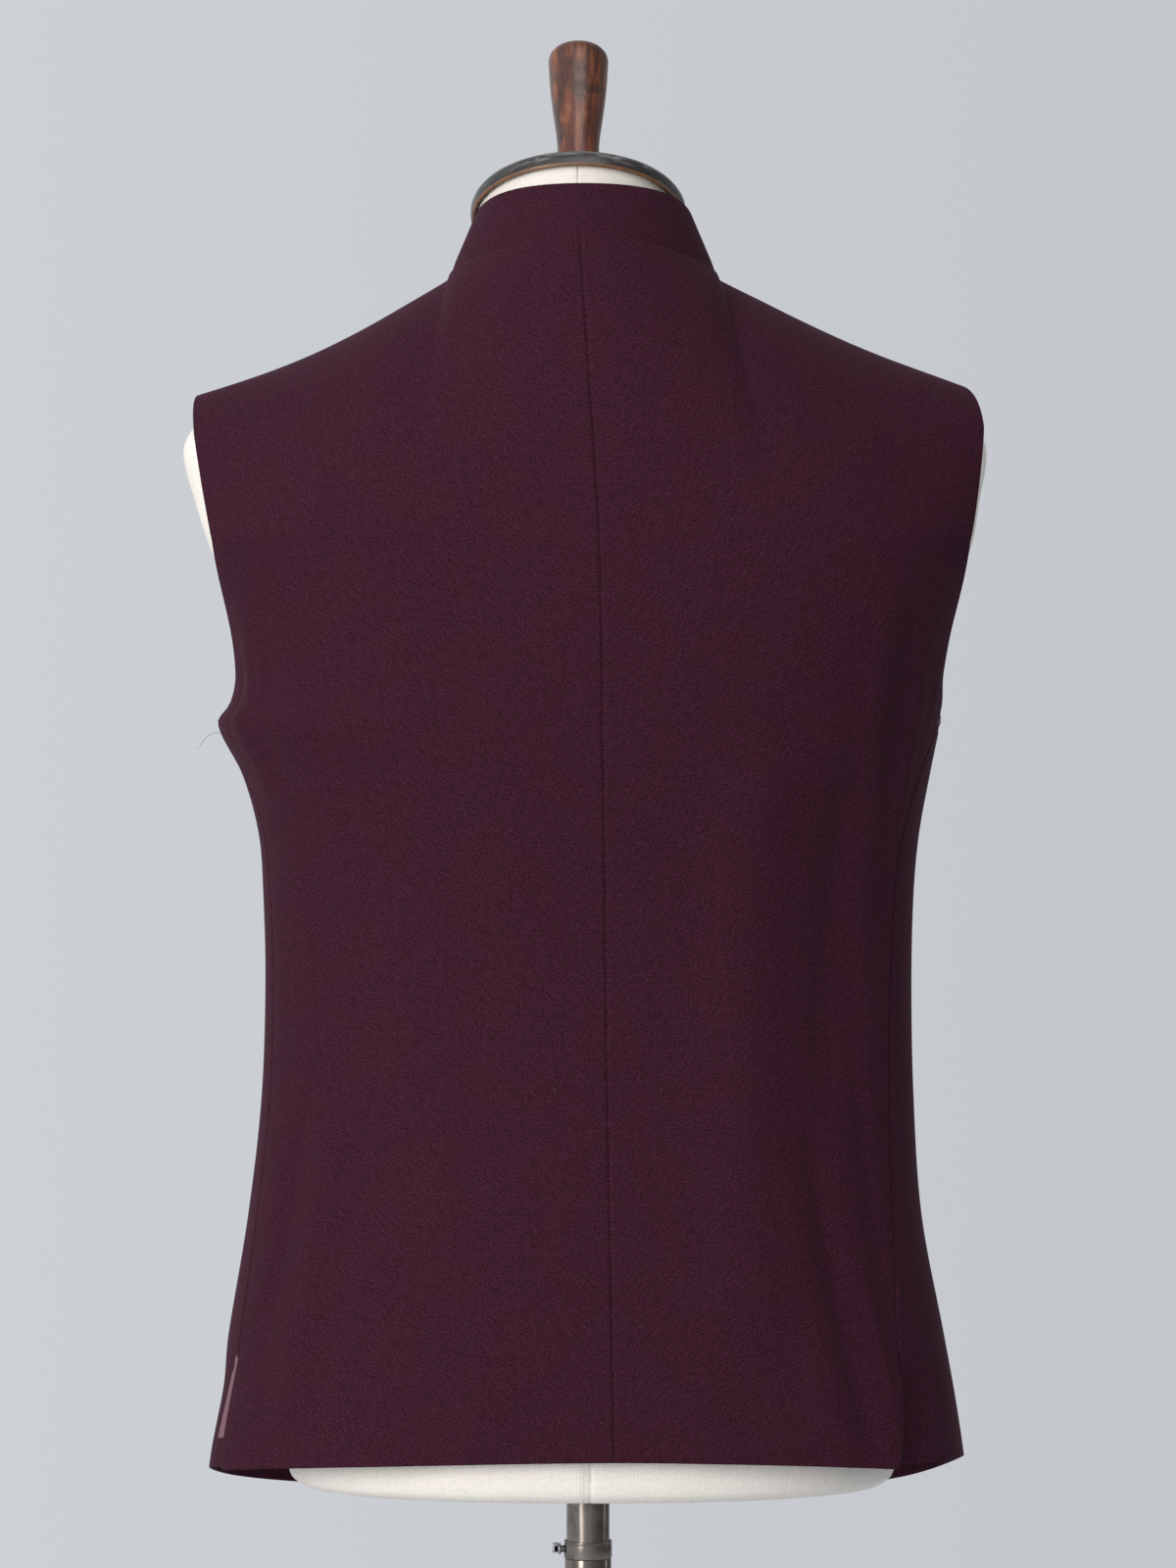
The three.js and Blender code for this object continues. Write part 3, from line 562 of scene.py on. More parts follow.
def make_mesh(name: str, points: np.ndarray, quads: np.ndarray, uv: np.ndarray | None) -> Piece:
    """Makes an object from points in millimetres.

    Args:
        name: the piece's name.
        points: rows of x, y, z.
        quads: rows of four point numbers, three and a repeat for a triangle.
        uv: a place on the flat cloth for each point, in metres.

    Returns:
        The object, at the origin, with smooth faces.
    """
    mesh = bpy.data.meshes.new(name)
    faces = [row[:3] if row[3] == row[2] else row for row in quads.tolist()]
    mesh.from_pydata((points * MM).tolist(), [], faces)
    if uv is not None:
        layer = mesh.uv_layers.new(name="cloth")
        corners = np.empty(len(mesh.loops), np.int32)
        mesh.loops.foreach_get("vertex_index", corners)
        layer.data.foreach_set("uv", uv[corners].astype(np.float32).ravel())
    mesh.validate()
    mesh.polygons.foreach_set("use_smooth", [True] * len(mesh.polygons))
    piece = bpy.data.objects.new(name, mesh)
    bpy.context.collection.objects.link(piece)
    return piece


def cloth_sheet(
    name: str, surface: Surface, us: np.ndarray, vs: np.ndarray, wall: float, flip: bool, seams: Seams
) -> Piece:
    """Makes a thin closed shell under a face, with rounded edges and soft valleys at seams.

    Args:
        name: the piece's name.
        surface: the outer face over (u, v).
        us: the columns.
        vs: the rows.
        wall: thickness of the cloth.
        flip: whether the face's own normal points inwards.
        seams: the edges that are sewn.

    Returns:
        The shell. Its inner side's faces come after its outer side's.
    """
    u, v = np.meshgrid(us, vs)
    outer = surface(u, v)
    normal = face_normal(surface, u, v, flip)
    across = run_length(outer, 1)
    along = run_length(outer, 0)
    to_outer = across[:, -1:] - across
    to_high = along[-1:] - along
    edge = np.minimum(np.minimum(across, to_outer), np.minimum(along, to_high))
    half = wall / 2
    round_off = np.sqrt(half**2 - (half - np.minimum(edge, half)) ** 2)
    pucker = 1 + PUCKER * np.sin(along / PUCKER_SHORT + 2 * np.sin(along / PUCKER_LONG))
    sewn_outer = np.where(v < seams.split, seams.outer_low, seams.outer_high)
    valley = (
        seams.inner * bell(across, seams.reach) * pucker
        + sewn_outer * bell(to_outer, seams.reach) * pucker
        + seams.low * bell(along, seams.reach)
        + seams.high * bell(to_high, seams.reach)
    )
    valley = np.minimum(valley, seams.deepest) * seams.depth * round_off / half
    top = outer - normal * (half - round_off + valley)[..., None]
    under = outer - normal * (half + round_off)[..., None]
    rows, columns = u.shape
    top_index = np.arange(rows * columns).reshape(rows, columns)
    under_index = top_index + rows * columns
    under_index[[0, -1], :] = top_index[[0, -1], :]
    under_index[:, [0, -1]] = top_index[:, [0, -1]]
    quads = []
    for index, inwards in ((top_index, flip), (under_index, not flip)):
        corners = [index[:-1, :-1], index[:-1, 1:], index[1:, 1:], index[1:, :-1]]
        if inwards:
            corners.reverse()
        quads.append(np.stack(corners, -1).reshape(-1, 4))
    quads = np.concatenate(quads)
    used, quads = np.unique(quads, return_inverse=True)
    points = np.concatenate([top.reshape(-1, 3), under.reshape(-1, 3)])[used]
    flat = np.stack([across, along], -1).reshape(-1, 2) * MM
    return make_mesh(name, points, quads.reshape(-1, 4), np.concatenate([flat, flat])[used])


def thread_points(path: np.ndarray, radius: float, sides: int) -> tuple[np.ndarray, np.ndarray]:
    """A closed tube along a path, with pointed ends.

    Args:
        path: rows of x, y, z.
        radius: the thread's radius.
        sides: how many sides it has.

    Returns:
        Its points, and its quads as rows of point numbers.
    """
    tangent = unit(np.gradient(path, axis=0))
    guide = np.array(THREAD_GUIDE)
    first = unit(np.cross(tangent, guide))
    second = np.cross(tangent, first)
    turn = np.arange(sides) * 2 * math.pi / sides
    taper = np.minimum(1, np.minimum(np.arange(len(path)), np.arange(len(path))[::-1]) * 0.5 + 0.3)
    spoke = np.cos(turn)[None, :, None] * first[:, None] + np.sin(turn)[None, :, None] * second[:, None]
    points = (path[:, None] + spoke * (radius * taper)[:, None, None]).reshape(-1, 3)
    rings = np.arange(len(path) * sides).reshape(len(path), sides)
    after = np.roll(rings, -1, axis=1)
    quads = np.stack([rings[:-1], after[:-1], after[1:], rings[1:]], -1).reshape(-1, 4)
    caps = []
    for i in range(1, sides - 1):
        caps.append([rings[0, 0], rings[0, i + 1], rings[0, i], rings[0, i]])
        caps.append([rings[-1, 0], rings[-1, i], rings[-1, i + 1], rings[-1, i + 1]])
    return points, np.concatenate([quads, np.array(caps)])


def joined_threads(name: str, paths: Sequence[np.ndarray], radius: float, sides: int = 6) -> Piece:
    """Makes many short threads as one mesh."""
    all_points = []
    all_quads = []
    count = 0
    for path in paths:
        points, quads = thread_points(path, radius, sides)
        all_points.append(points)
        all_quads.append(quads + count)
        count += len(points)
    return make_mesh(name, np.concatenate(all_points), np.concatenate(all_quads), None)


def to_linear(colour: str) -> tuple[float, float, float, float]:
    """Turns an sRGB hex colour to linear RGBA."""
    values = [int(colour[i : i + 2], 16) / 255 for i in (1, 3, 5)]
    linear = [v / 12.92 if v <= 0.04045 else ((v + 0.055) / 1.055) ** 2.4 for v in values]
    return (*linear, 1.0)


def add_node(
    tree: Tree, kind: str, values: dict | None = None, links: dict | None = None, **settings: object
) -> bpy.types.Node:
    """Adds a shader node.

    Args:
        tree: the tree that it goes into.
        kind: the node's type name.
        values: numbers or colours for its sockets, by name or number.
        links: output sockets that feed its sockets, by name or number.
        settings: its own properties.

    Returns:
        The node.
    """
    node = tree.nodes.new(kind)
    for name, value in settings.items():
        setattr(node, name, value)
    for socket, value in (values or {}).items():
        node.inputs[socket].default_value = value
    for socket, source in (links or {}).items():
        tree.links.new(source, node.inputs[socket])
    return node


def add_ramp(tree: Tree, source: Socket, stops: Sequence[tuple[float, object]]) -> object:
    """Adds a colour ramp and gives back its colour.

    Args:
        tree: the tree that it goes into.
        source: the socket that it reads.
        stops: pairs of a place and a grey level or hex colour.
    """
    node = add_node(tree, "ShaderNodeValToRGB", links={0: source})
    elements = node.color_ramp.elements
    while len(elements) < len(stops):
        elements.new(0.5)
    for element, (place, colour) in zip(elements, stops):
        element.position = place
        element.color = to_linear(colour) if isinstance(colour, str) else (colour, colour, colour, 1)
    return node.outputs[0]


def mix_colours(tree: Tree, factor: object, first: object, second: object, blend: str = "MIX") -> object:
    """Mixes two colours by a socket or a number, and gives back the result."""
    node = add_node(tree, "ShaderNodeMix", data_type="RGBA", blend_type=blend)
    for socket, value in ((0, factor), (6, first), (7, second)):
        if isinstance(value, Socket):
            tree.links.new(value, node.inputs[socket])
        else:
            node.inputs[socket].default_value = to_linear(value) if isinstance(value, str) else value
    return node.outputs[2]


def new_material(name: str) -> tuple[Finish, Tree, bpy.types.Node]:
    """Makes an empty node material with its shader and output."""
    material = bpy.data.materials.new(name)
    material.use_nodes = True
    tree = material.node_tree
    tree.nodes.clear()
    shader = add_node(tree, "ShaderNodeBsdfPrincipled")
    add_node(tree, "ShaderNodeOutputMaterial", links={0: shader.outputs[0]})
    return material, tree, shader


def set_values(shader: bpy.types.Node, **values: object) -> None:
    """Sets the shader's own sockets, an underscore in a name standing for a space."""
    for name, value in values.items():
        shader.inputs[name.replace("_", " ")].default_value = value


def feed(tree: Tree, shader: bpy.types.Node, **sockets: object) -> None:
    """Links outputs to the shader's sockets, an underscore in a name standing for a space."""
    for name, source in sockets.items():
        tree.links.new(source, shader.inputs[name.replace("_", " ")])


def add_bump(tree: Tree, height: object, distance: float, strength: float = 1.0) -> object:
    """Turns a height socket, 0 to 1, to a normal, distance being in millimetres."""
    values = {"Strength": strength, "Distance": distance * MM}
    return add_node(tree, "ShaderNodeBump", values, {"Height": height}).outputs[0]


def wave_scale(period: float) -> float:
    """The scale of a band wave of a period in millimetres, on coordinates in metres."""
    return 2 * math.pi / 20 / (period * MM)


@dataclass(frozen=True)
class TwillSuiting:
    """Wool-blend suiting, woven in a fine twill and pressed: matt, with faint diagonal lines."""

    name: str = "wool_blend_twill_wine"
    body: str = "#471d30"
    warm: str = "#4c1e2e"
    cool: str = "#431b34"
    # Real twill lines lie about 0.7 mm apart. They are drawn at 1.35 mm so that they show.
    twill: float = 1.35
    slub: float = 1.7

    def build(self) -> Finish:
        """Makes the material."""
        material, tree, shader = new_material(self.name)
        place = add_node(tree, CLOTH_UV, uv_map="cloth").outputs[0]
        turned = add_node(
            tree, MAPPING, {"Rotation": (0, 0, 38 * DEGREE)}, {"Vector": place}
        ).outputs[0]
        lines = add_node(
            tree,
            WAVE,
            {"Scale": wave_scale(self.twill), "Distortion": 1.2, "Detail": 1, "Detail Scale": 3},
            {"Vector": turned},
        ).outputs["Fac"]
        slub_scale = {"Scale": (1000 / self.slub, 1000 / self.slub / 4, 1)}
        drawn = add_node(tree, MAPPING, slub_scale, {"Vector": turned}).outputs[0]
        slubs = add_node(tree, NOISE, {"Scale": 1.0, "Detail": 3}, {"Vector": drawn}).outputs[0]
        fuzz = add_node(tree, NOISE, {"Scale": 850, "Detail": 3}, {"Vector": place}).outputs[0]
        cloud = add_node(tree, NOISE, {"Scale": 24, "Detail": 4}, {"Vector": place}).outputs[0]
        tone = mix_colours(tree, add_ramp(tree, cloud, ((0.3, 0.0), (0.7, 1.0))), self.warm, self.cool)
        tone = mix_colours(tree, 0.35, self.body, tone)
        shade = add_ramp(tree, lines, ((0.0, 0.74), (1.0, 1.0)))
        tone = mix_colours(tree, 0.75, tone, shade, "MULTIPLY")
        tone = mix_colours(tree, 0.6, tone, add_ramp(tree, slubs, ((0.32, 0.5), (0.66, 1.0))), "MULTIPLY")
        tone = mix_colours(tree, 0.8, tone, add_ramp(tree, fuzz, ((0.36, 0.25), (0.62, 1.0))), "MULTIPLY")
        # Pale lint specks, each under a millimetre
        dots = add_node(tree, CELLS, {"Scale": 46, "Randomness": 1}, {"Vector": place})
        speck = add_ramp(tree, dots.outputs["Distance"], ((0.0, 1.0), (0.021, 0.0)))
        tone = mix_colours(tree, speck, tone, "#7d6a70")
        height = mix_colours(tree, 0.5, lines, fuzz)
        set_values(
            shader,
            Roughness=0.85,
            Specular_IOR_Level=0.12,
            Sheen_Weight=0.06,
            Sheen_Roughness=0.45,
            Sheen_Tint=to_linear("#c58a9c"),
        )
        feed(tree, shader, Base_Color=tone, Normal=add_bump(tree, height, 0.06))
        return material


@dataclass(frozen=True)
class SatinLining:
    """Viscose satin, woven with long floats: smooth, with a soft gloss along the folds."""

    name: str = "viscose_satin_mauve"
    body: str = "#623344"
    light: str = "#734354"
    rib: float = 0.9

    def build(self) -> Finish:
        """Makes the material."""
        material, tree, shader = new_material(self.name)
        place = add_node(tree, CLOTH_UV, uv_map="cloth").outputs[0]
        ribs = add_node(
            tree, WAVE, {"Scale": wave_scale(self.rib), "Distortion": 0.6}, {"Vector": place}
        ).outputs["Fac"]
        cloud = add_node(tree, NOISE, {"Scale": 60, "Detail": 3}, {"Vector": place}).outputs[0]
        tone = mix_colours(tree, cloud, self.body, self.light)
        set_values(shader, Roughness=0.36, Sheen_Weight=0.15)
        feed(tree, shader, Base_Color=tone, Normal=add_bump(tree, ribs, 0.02))
        return material


@dataclass(frozen=True)
class CottonCanvas:
    """Unbleached cotton canvas in a plain weave, stretched over the form: matt, with slubs."""

    name: str = "cotton_canvas_cream"
    body: str = "#f5f0e8"
    thread: str = "#e6ded4"
    # Real threads lie about 0.6 mm apart. They are drawn at 1.7 mm so that they show.
    pitch: float = 1.7

    def build(self) -> Finish:
        """Makes the material."""
        material, tree, shader = new_material(self.name)
        place = add_node(tree, CLOTH_UV, uv_map="cloth").outputs[0]
        settings = {"Scale": wave_scale(self.pitch), "Distortion": 1.5, "Detail": 2, "Detail Scale": 2}
        warp = add_node(tree, WAVE, settings, {"Vector": place}).outputs["Fac"]
        weft = add_node(
            tree, WAVE, settings, {"Vector": place}, bands_direction="Y"
        ).outputs["Fac"]
        weave = mix_colours(tree, 0.5, warp, weft)
        grime = add_node(tree, NOISE, {"Scale": 24, "Detail": 5}, {"Vector": place}).outputs[0]
        fibre = add_node(tree, NOISE, {"Scale": 420, "Detail": 3}, {"Vector": place}).outputs[0]
        tone = mix_colours(tree, add_ramp(tree, weave, ((0.1, 0.4), (0.7, 0.0))), self.body, self.thread)
        tone = mix_colours(tree, 0.5, tone, add_ramp(tree, fibre, ((0.3, 0.86), (0.6, 1.0))), "MULTIPLY")
        tone = mix_colours(tree, 0.6, tone, add_ramp(tree, grime, ((0.3, 0.93), (0.65, 1.0))), "MULTIPLY")
        dots = add_node(tree, CELLS, {"Scale": 85, "Randomness": 1}, {"Vector": place})
        speck = add_ramp(tree, dots.outputs["Distance"], ((0.0, 0.8), (0.035, 0.0)))
        tone = mix_colours(tree, speck, tone, "#8f8478")
        set_values(shader, Roughness=0.9, Specular_IOR_Level=0.2)
        feed(tree, shader, Base_Color=tone, Normal=add_bump(tree, weave, 0.12))
        return material


@dataclass(frozen=True)
class TurnedWood:
    """Turned hardwood, stained and lacquered, worn where it is handled.

    The pattern lies in the wood's own frame, along the turning axis. Raw wood shows under
    the height raw_top, and pale scuffs between the heights of scuff.
    """

    name: str
    stain: tuple[str, str, str]
    patch: str
    raw: str
    raw_top: float
    scuff: tuple[float, float]
    grain: float
    roughness: float

    def build(self, lean: Matrix) -> Finish:
        """Makes the material.

        Args:
            lean: the frame of the turning axis, in millimetres.
        """
        material, tree, shader = new_material(self.name)
        back = lean.inverted()
        shift = tuple(value * MM for value in back.translation)
        place = add_node(tree, PLACE).outputs["Object"]
        own = add_node(
            tree,
            MAPPING,
            {"Location": shift, "Rotation": tuple(back.to_euler())},
            {"Vector": place},
        ).outputs[0]
        height = add_node(tree, "ShaderNodeSeparateXYZ", links={0: own}).outputs["Z"]
        long_grain = add_node(tree, MAPPING, {"Scale": (1, 1, 0.12)}, {"Vector": own}).outputs[0]
        fibre = add_node(
            tree, NOISE, {"Scale": 1000 / self.grain, "Detail": 6, "Roughness": 0.6},
            {"Vector": long_grain},
        ).outputs[0]
        cloudy = {"Scale": 42, "Detail": 4, "Distortion": 0.6}
        blotch = add_node(tree, NOISE, cloudy, {"Vector": own})
        tone = add_ramp(
            tree, fibre, ((0.32, self.stain[0]), (0.5, self.stain[1]), (0.68, self.stain[2]))
        )
        dark = add_ramp(tree, blotch.outputs[0], ((0.47, 0.0), (0.62, 0.85)))
        tone = mix_colours(tree, dark, tone, self.patch)
        rubbed = add_node(tree, MAPPING, {"Scale": (0.4, 0.4, 2.4)}, {"Vector": own}).outputs[0]
        rub = add_node(
            tree, NOISE, {"Scale": 90, "Detail": 8, "Roughness": 0.7}, {"Vector": rubbed}
        )
        low, high = self.scuff
        middle = (low + high) / 2
        near = add_node(
            tree, MAP_RANGE,
            {1: (high - low) / 2 * MM, 2: 0.0, 3: 0.0, 4: 1.0},
            {0: self.distance(tree, height, middle)},
        ).outputs[0]
        worn = add_ramp(tree, rub.outputs[0], ((0.49, 0.0), (0.66, 0.8)))
        tone = mix_colours(tree, mix_colours(tree, 1.0, worn, near, "MULTIPLY"), tone, "#b3b2b4")
        bare = add_node(
            tree, MAP_RANGE,
            {1: (self.raw_top + 0.35) * MM, 2: self.raw_top * MM, 3: 0.0, 4: 1.0},
            {0: height},
        ).outputs[0]
        raw_tone = mix_colours(tree, fibre, self.raw, self.stain[1])
        tone = mix_colours(tree, bare, tone, raw_tone)
        set_values(shader, Coat_Weight=0.25, Coat_Roughness=0.25)
        rough = add_ramp(tree, rub.outputs[0], ((0.3, self.roughness - 0.08), (0.7, self.roughness + 0.15)))
        feed(tree, shader, Base_Color=tone, Roughness=rough, Normal=add_bump(tree, fibre, 0.12))
        return material

    @staticmethod
    def distance(tree: Tree, height: object, middle: float) -> object:
        """How far a height lies from a middle height in millimetres, in metres."""
        less = add_node(tree, "ShaderNodeMath", {1: middle * MM}, {0: height}, operation="SUBTRACT")
        return add_node(tree, "ShaderNodeMath", links={0: less.outputs[0]}, operation="ABSOLUTE").outputs[0]


@dataclass(frozen=True)
class DrawnSteel:
    """Nickel-plated steel tube, drawn and polished: clear streaks along it, with darker patches of painted
    reflection in its colour.
    """

    name: str = "nickel_plated_steel"
    colour: str = "#837c76"
    # Darker colour of the patches of painted reflection, standing in for dark surroundings mirrored in the
    # tube
    painted_reflection: str = "#5f5751"
    roughness: float = 0.16

    def build(self) -> Finish:
        """Makes the material."""
        material, tree, shader = new_material(self.name)
        place = add_node(tree, PLACE).outputs["Object"]
        drawn = add_node(tree, MAPPING, {"Scale": (900, 900, 25)}, {"Vector": place}).outputs[0]
        lines = add_node(tree, NOISE, {"Scale": 1.0, "Detail": 3}, {"Vector": drawn}).outputs[0]
        # Noise that places the darker patches of painted reflection in the tube's colour
        rub = add_node(tree, NOISE, {"Scale": 130, "Detail": 6}, {"Vector": place}).outputs[0]
        tone = mix_colours(tree, add_ramp(tree, rub, ((0.5, 0.0), (0.68, 0.7))), self.colour, self.painted_reflection)
        rough = add_ramp(tree, lines, ((0.3, self.roughness), (0.7, self.roughness + 0.14)))
        set_values(shader, Metallic=1.0)
        feed(tree, shader, Base_Color=tone, Roughness=rough, Normal=add_bump(tree, lines, 0.01))
        return material


@dataclass(frozen=True)
class EnamelledIron:
    """Cast iron, sprayed with black stoving enamel: a faint orange peel and dusty rims."""

    name: str = "enamelled_cast_iron"
    colour: str = "#1d1e20"
    dust: str = "#3a3a3b"

    def build(self) -> Finish:
        """Makes the material."""
        material, tree, shader = new_material(self.name)
        place = add_node(tree, PLACE).outputs["Object"]
        peel = add_node(tree, NOISE, {"Scale": 450, "Detail": 2}, {"Vector": place}).outputs[0]
        cloud = add_node(tree, NOISE, {"Scale": 18, "Detail": 6}, {"Vector": place}).outputs[0]
        tone = mix_colours(tree, add_ramp(tree, cloud, ((0.45, 0.0), (0.75, 0.6))), self.colour, self.dust)
        rough = add_ramp(tree, cloud, ((0.3, 0.38), (0.7, 0.55)))
        feed(tree, shader, Base_Color=tone, Roughness=rough, Normal=add_bump(tree, peel, 0.08))
        return material


@dataclass(frozen=True)
class HornButton:
    """Dyed polyester button, cast and tumbled to look like horn: a soft gloss and faint veins."""

    name: str = "cast_polyester_button"
    colour: str = "#35161f"
    vein: str = "#4d2733"

    def build(self) -> Finish:
        """Makes the material."""
        material, tree, shader = new_material(self.name)
        place = add_node(tree, PLACE).outputs["Object"]
        veins = add_node(
            tree, NOISE, {"Scale": 160, "Detail": 5, "Distortion": 2.5}, {"Vector": place}
        ).outputs[0]
        tone = mix_colours(tree, add_ramp(tree, veins, ((0.45, 0.0), (0.6, 1.0))), self.colour, self.vein)
        rough = add_ramp(tree, veins, ((0.3, 0.3), (0.7, 0.42)))
        feed(tree, shader, Base_Color=tone, Roughness=rough)
        return material


@dataclass(frozen=True)
class SewingThread:
    """Spun polyester thread: plain, slightly silky, with a twist that shows as fine bands."""

    name: str
    colour: str
    light: str
    twist: float = 0.5

    def build(self) -> Finish:
        """Makes the material."""
        material, tree, shader = new_material(self.name)
        place = add_node(tree, PLACE).outputs["Object"]
        bands = {"Scale": wave_scale(self.twist)}
        twist = add_node(
            tree, WAVE, bands, {"Vector": place}, bands_direction="DIAGONAL"
        ).outputs["Fac"]
        set_values(shader, Roughness=0.55, Sheen_Weight=0.2)
        feed(tree, shader, Base_Color=mix_colours(tree, twist, self.colour, self.light))
        return material


@dataclass(frozen=True)
class PaleFloor:
    """Seamless studio floor, painted matt: almost the grey of the backdrop."""

    name: str = "matt_floor_paint"
    colour: str = "#dcdee2"

    def build(self) -> Finish:
        """Makes the material."""
        material, tree, shader = new_material(self.name)
        place = add_node(tree, PLACE).outputs["Object"]
        cloud = add_node(tree, NOISE, {"Scale": 1.5, "Detail": 3}, {"Vector": place}).outputs[0]
        tone = mix_colours(tree, 0.05, self.colour, cloud, "MULTIPLY")
        set_values(shader, Roughness=0.8)
        feed(tree, shader, Base_Color=tone)
        return material


def dress(piece: Piece, body: str, slot: str, *materials: Finish) -> Piece:
    """Gives a piece its materials and its body."""
    for material in materials:
        piece.data.materials.append(material)
    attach(piece, body)
    log.info("%s: %d faces, on %s", piece.name, len(piece.data.polygons), body)
    return piece


@dataclass
class Studio:
    """Camera, lights, backdrop and floor, as for the photograph."""

    camera_y: float = 3.0
    camera_z: float = 0.991
    lens: float = 122.5
    floor_radius: float = 3.6

    def build(self) -> None:
        """Makes the whole stage."""
        self.place_camera()
        self.make_world()
        self.add_light("key_softbox", 36, 3.3, 1.75, (1.0, 2.0), 71, "#fffaf4")
        self.add_light("top_softbox", -8, 1.6, 2.9, (1.6, 1.0), 12, "#fffdfa")
        self.add_light("rim_softbox", -100, 2.6, 1.3, (0.5, 1.6), 3, "#f4f7ff")
        self.lay_floor()
        bpy.context.scene.view_settings.view_transform = "Standard"

    def place_camera(self) -> None:
        """Stands the camera behind the waistcoat, level with its middle."""
        data = bpy.data.cameras.new("camera")
        data.lens = self.lens
        camera = bpy.data.objects.new("camera", data)
        camera.location = (0, self.camera_y, self.camera_z)
        camera.rotation_euler = (math.pi / 2, 0, math.pi)
        bpy.context.collection.objects.link(camera)
        bpy.context.scene.camera = camera

    def make_world(self) -> None:
        """A pale grey backdrop that is lighter on the wearer's left."""
        world = bpy.data.worlds.new("backdrop")
        world.use_nodes = True
        tree = world.node_tree
        tree.nodes.clear()
        place = add_node(tree, PLACE).outputs["Generated"]
        across = add_node(tree, "ShaderNodeSeparateXYZ", links={0: place}).outputs["X"]
        range_values = {1: -1.0, 2: 1.0, 3: 0.0, 4: 1.0}
        share = add_node(tree, MAP_RANGE, range_values, {0: across}).outputs[0]
        shade = add_ramp(tree, share, ((0.0, 0.12), (0.3, 0.36), (0.4, 0.525), (0.6, 0.635), (1.0, 0.7)))
        tone = mix_colours(tree, 1.0, shade, (1.0, 1.035, 1.09, 1.0), "MULTIPLY")
        ground = add_node(tree, "ShaderNodeBackground", links={0: tone})
        add_node(tree, "ShaderNodeOutputWorld", links={0: ground.outputs[0]})
        bpy.context.scene.world = world

    def add_light(
        self,
        name: str,
        turn: float,
        away: float,
        height: float,
        size: tuple[float, float],
        power: float,
        colour: str,
    ) -> None:
        """Adds a tall soft box that faces the waistcoat.

        Args:
            name: its name.
            turn: degrees from the camera's side towards +X.
            away: distance from the middle, in metres.
            height: height of its middle, in metres.
            size: width and height, in metres.
            power: watts.
            colour: its colour.
        """
        data = bpy.data.lights.new(name, "AREA")
        data.shape = "RECTANGLE"
        data.size, data.size_y = size
        data.energy = power
        data.color = to_linear(colour)[:3]
        light = bpy.data.objects.new(name, data)
        light.location = (away * math.sin(turn * DEGREE), away * math.cos(turn * DEGREE), height)
        aim = Vector((0, 0, 1.0)) - light.location
        light.rotation_euler = aim.to_track_quat("-Z", "Y").to_euler()
        bpy.context.collection.objects.link(light)

    def lay_floor(self) -> None:
        """A wide round floor."""
        bpy.ops.object.select_all(action="DESELECT")
        bpy.ops.mesh.primitive_circle_add(vertices=128, radius=self.floor_radius, fill_type="NGON")
        floor = bpy.context.object
        floor.name = "studio_floor"
        floor.data.materials.append(PaleFloor().build())


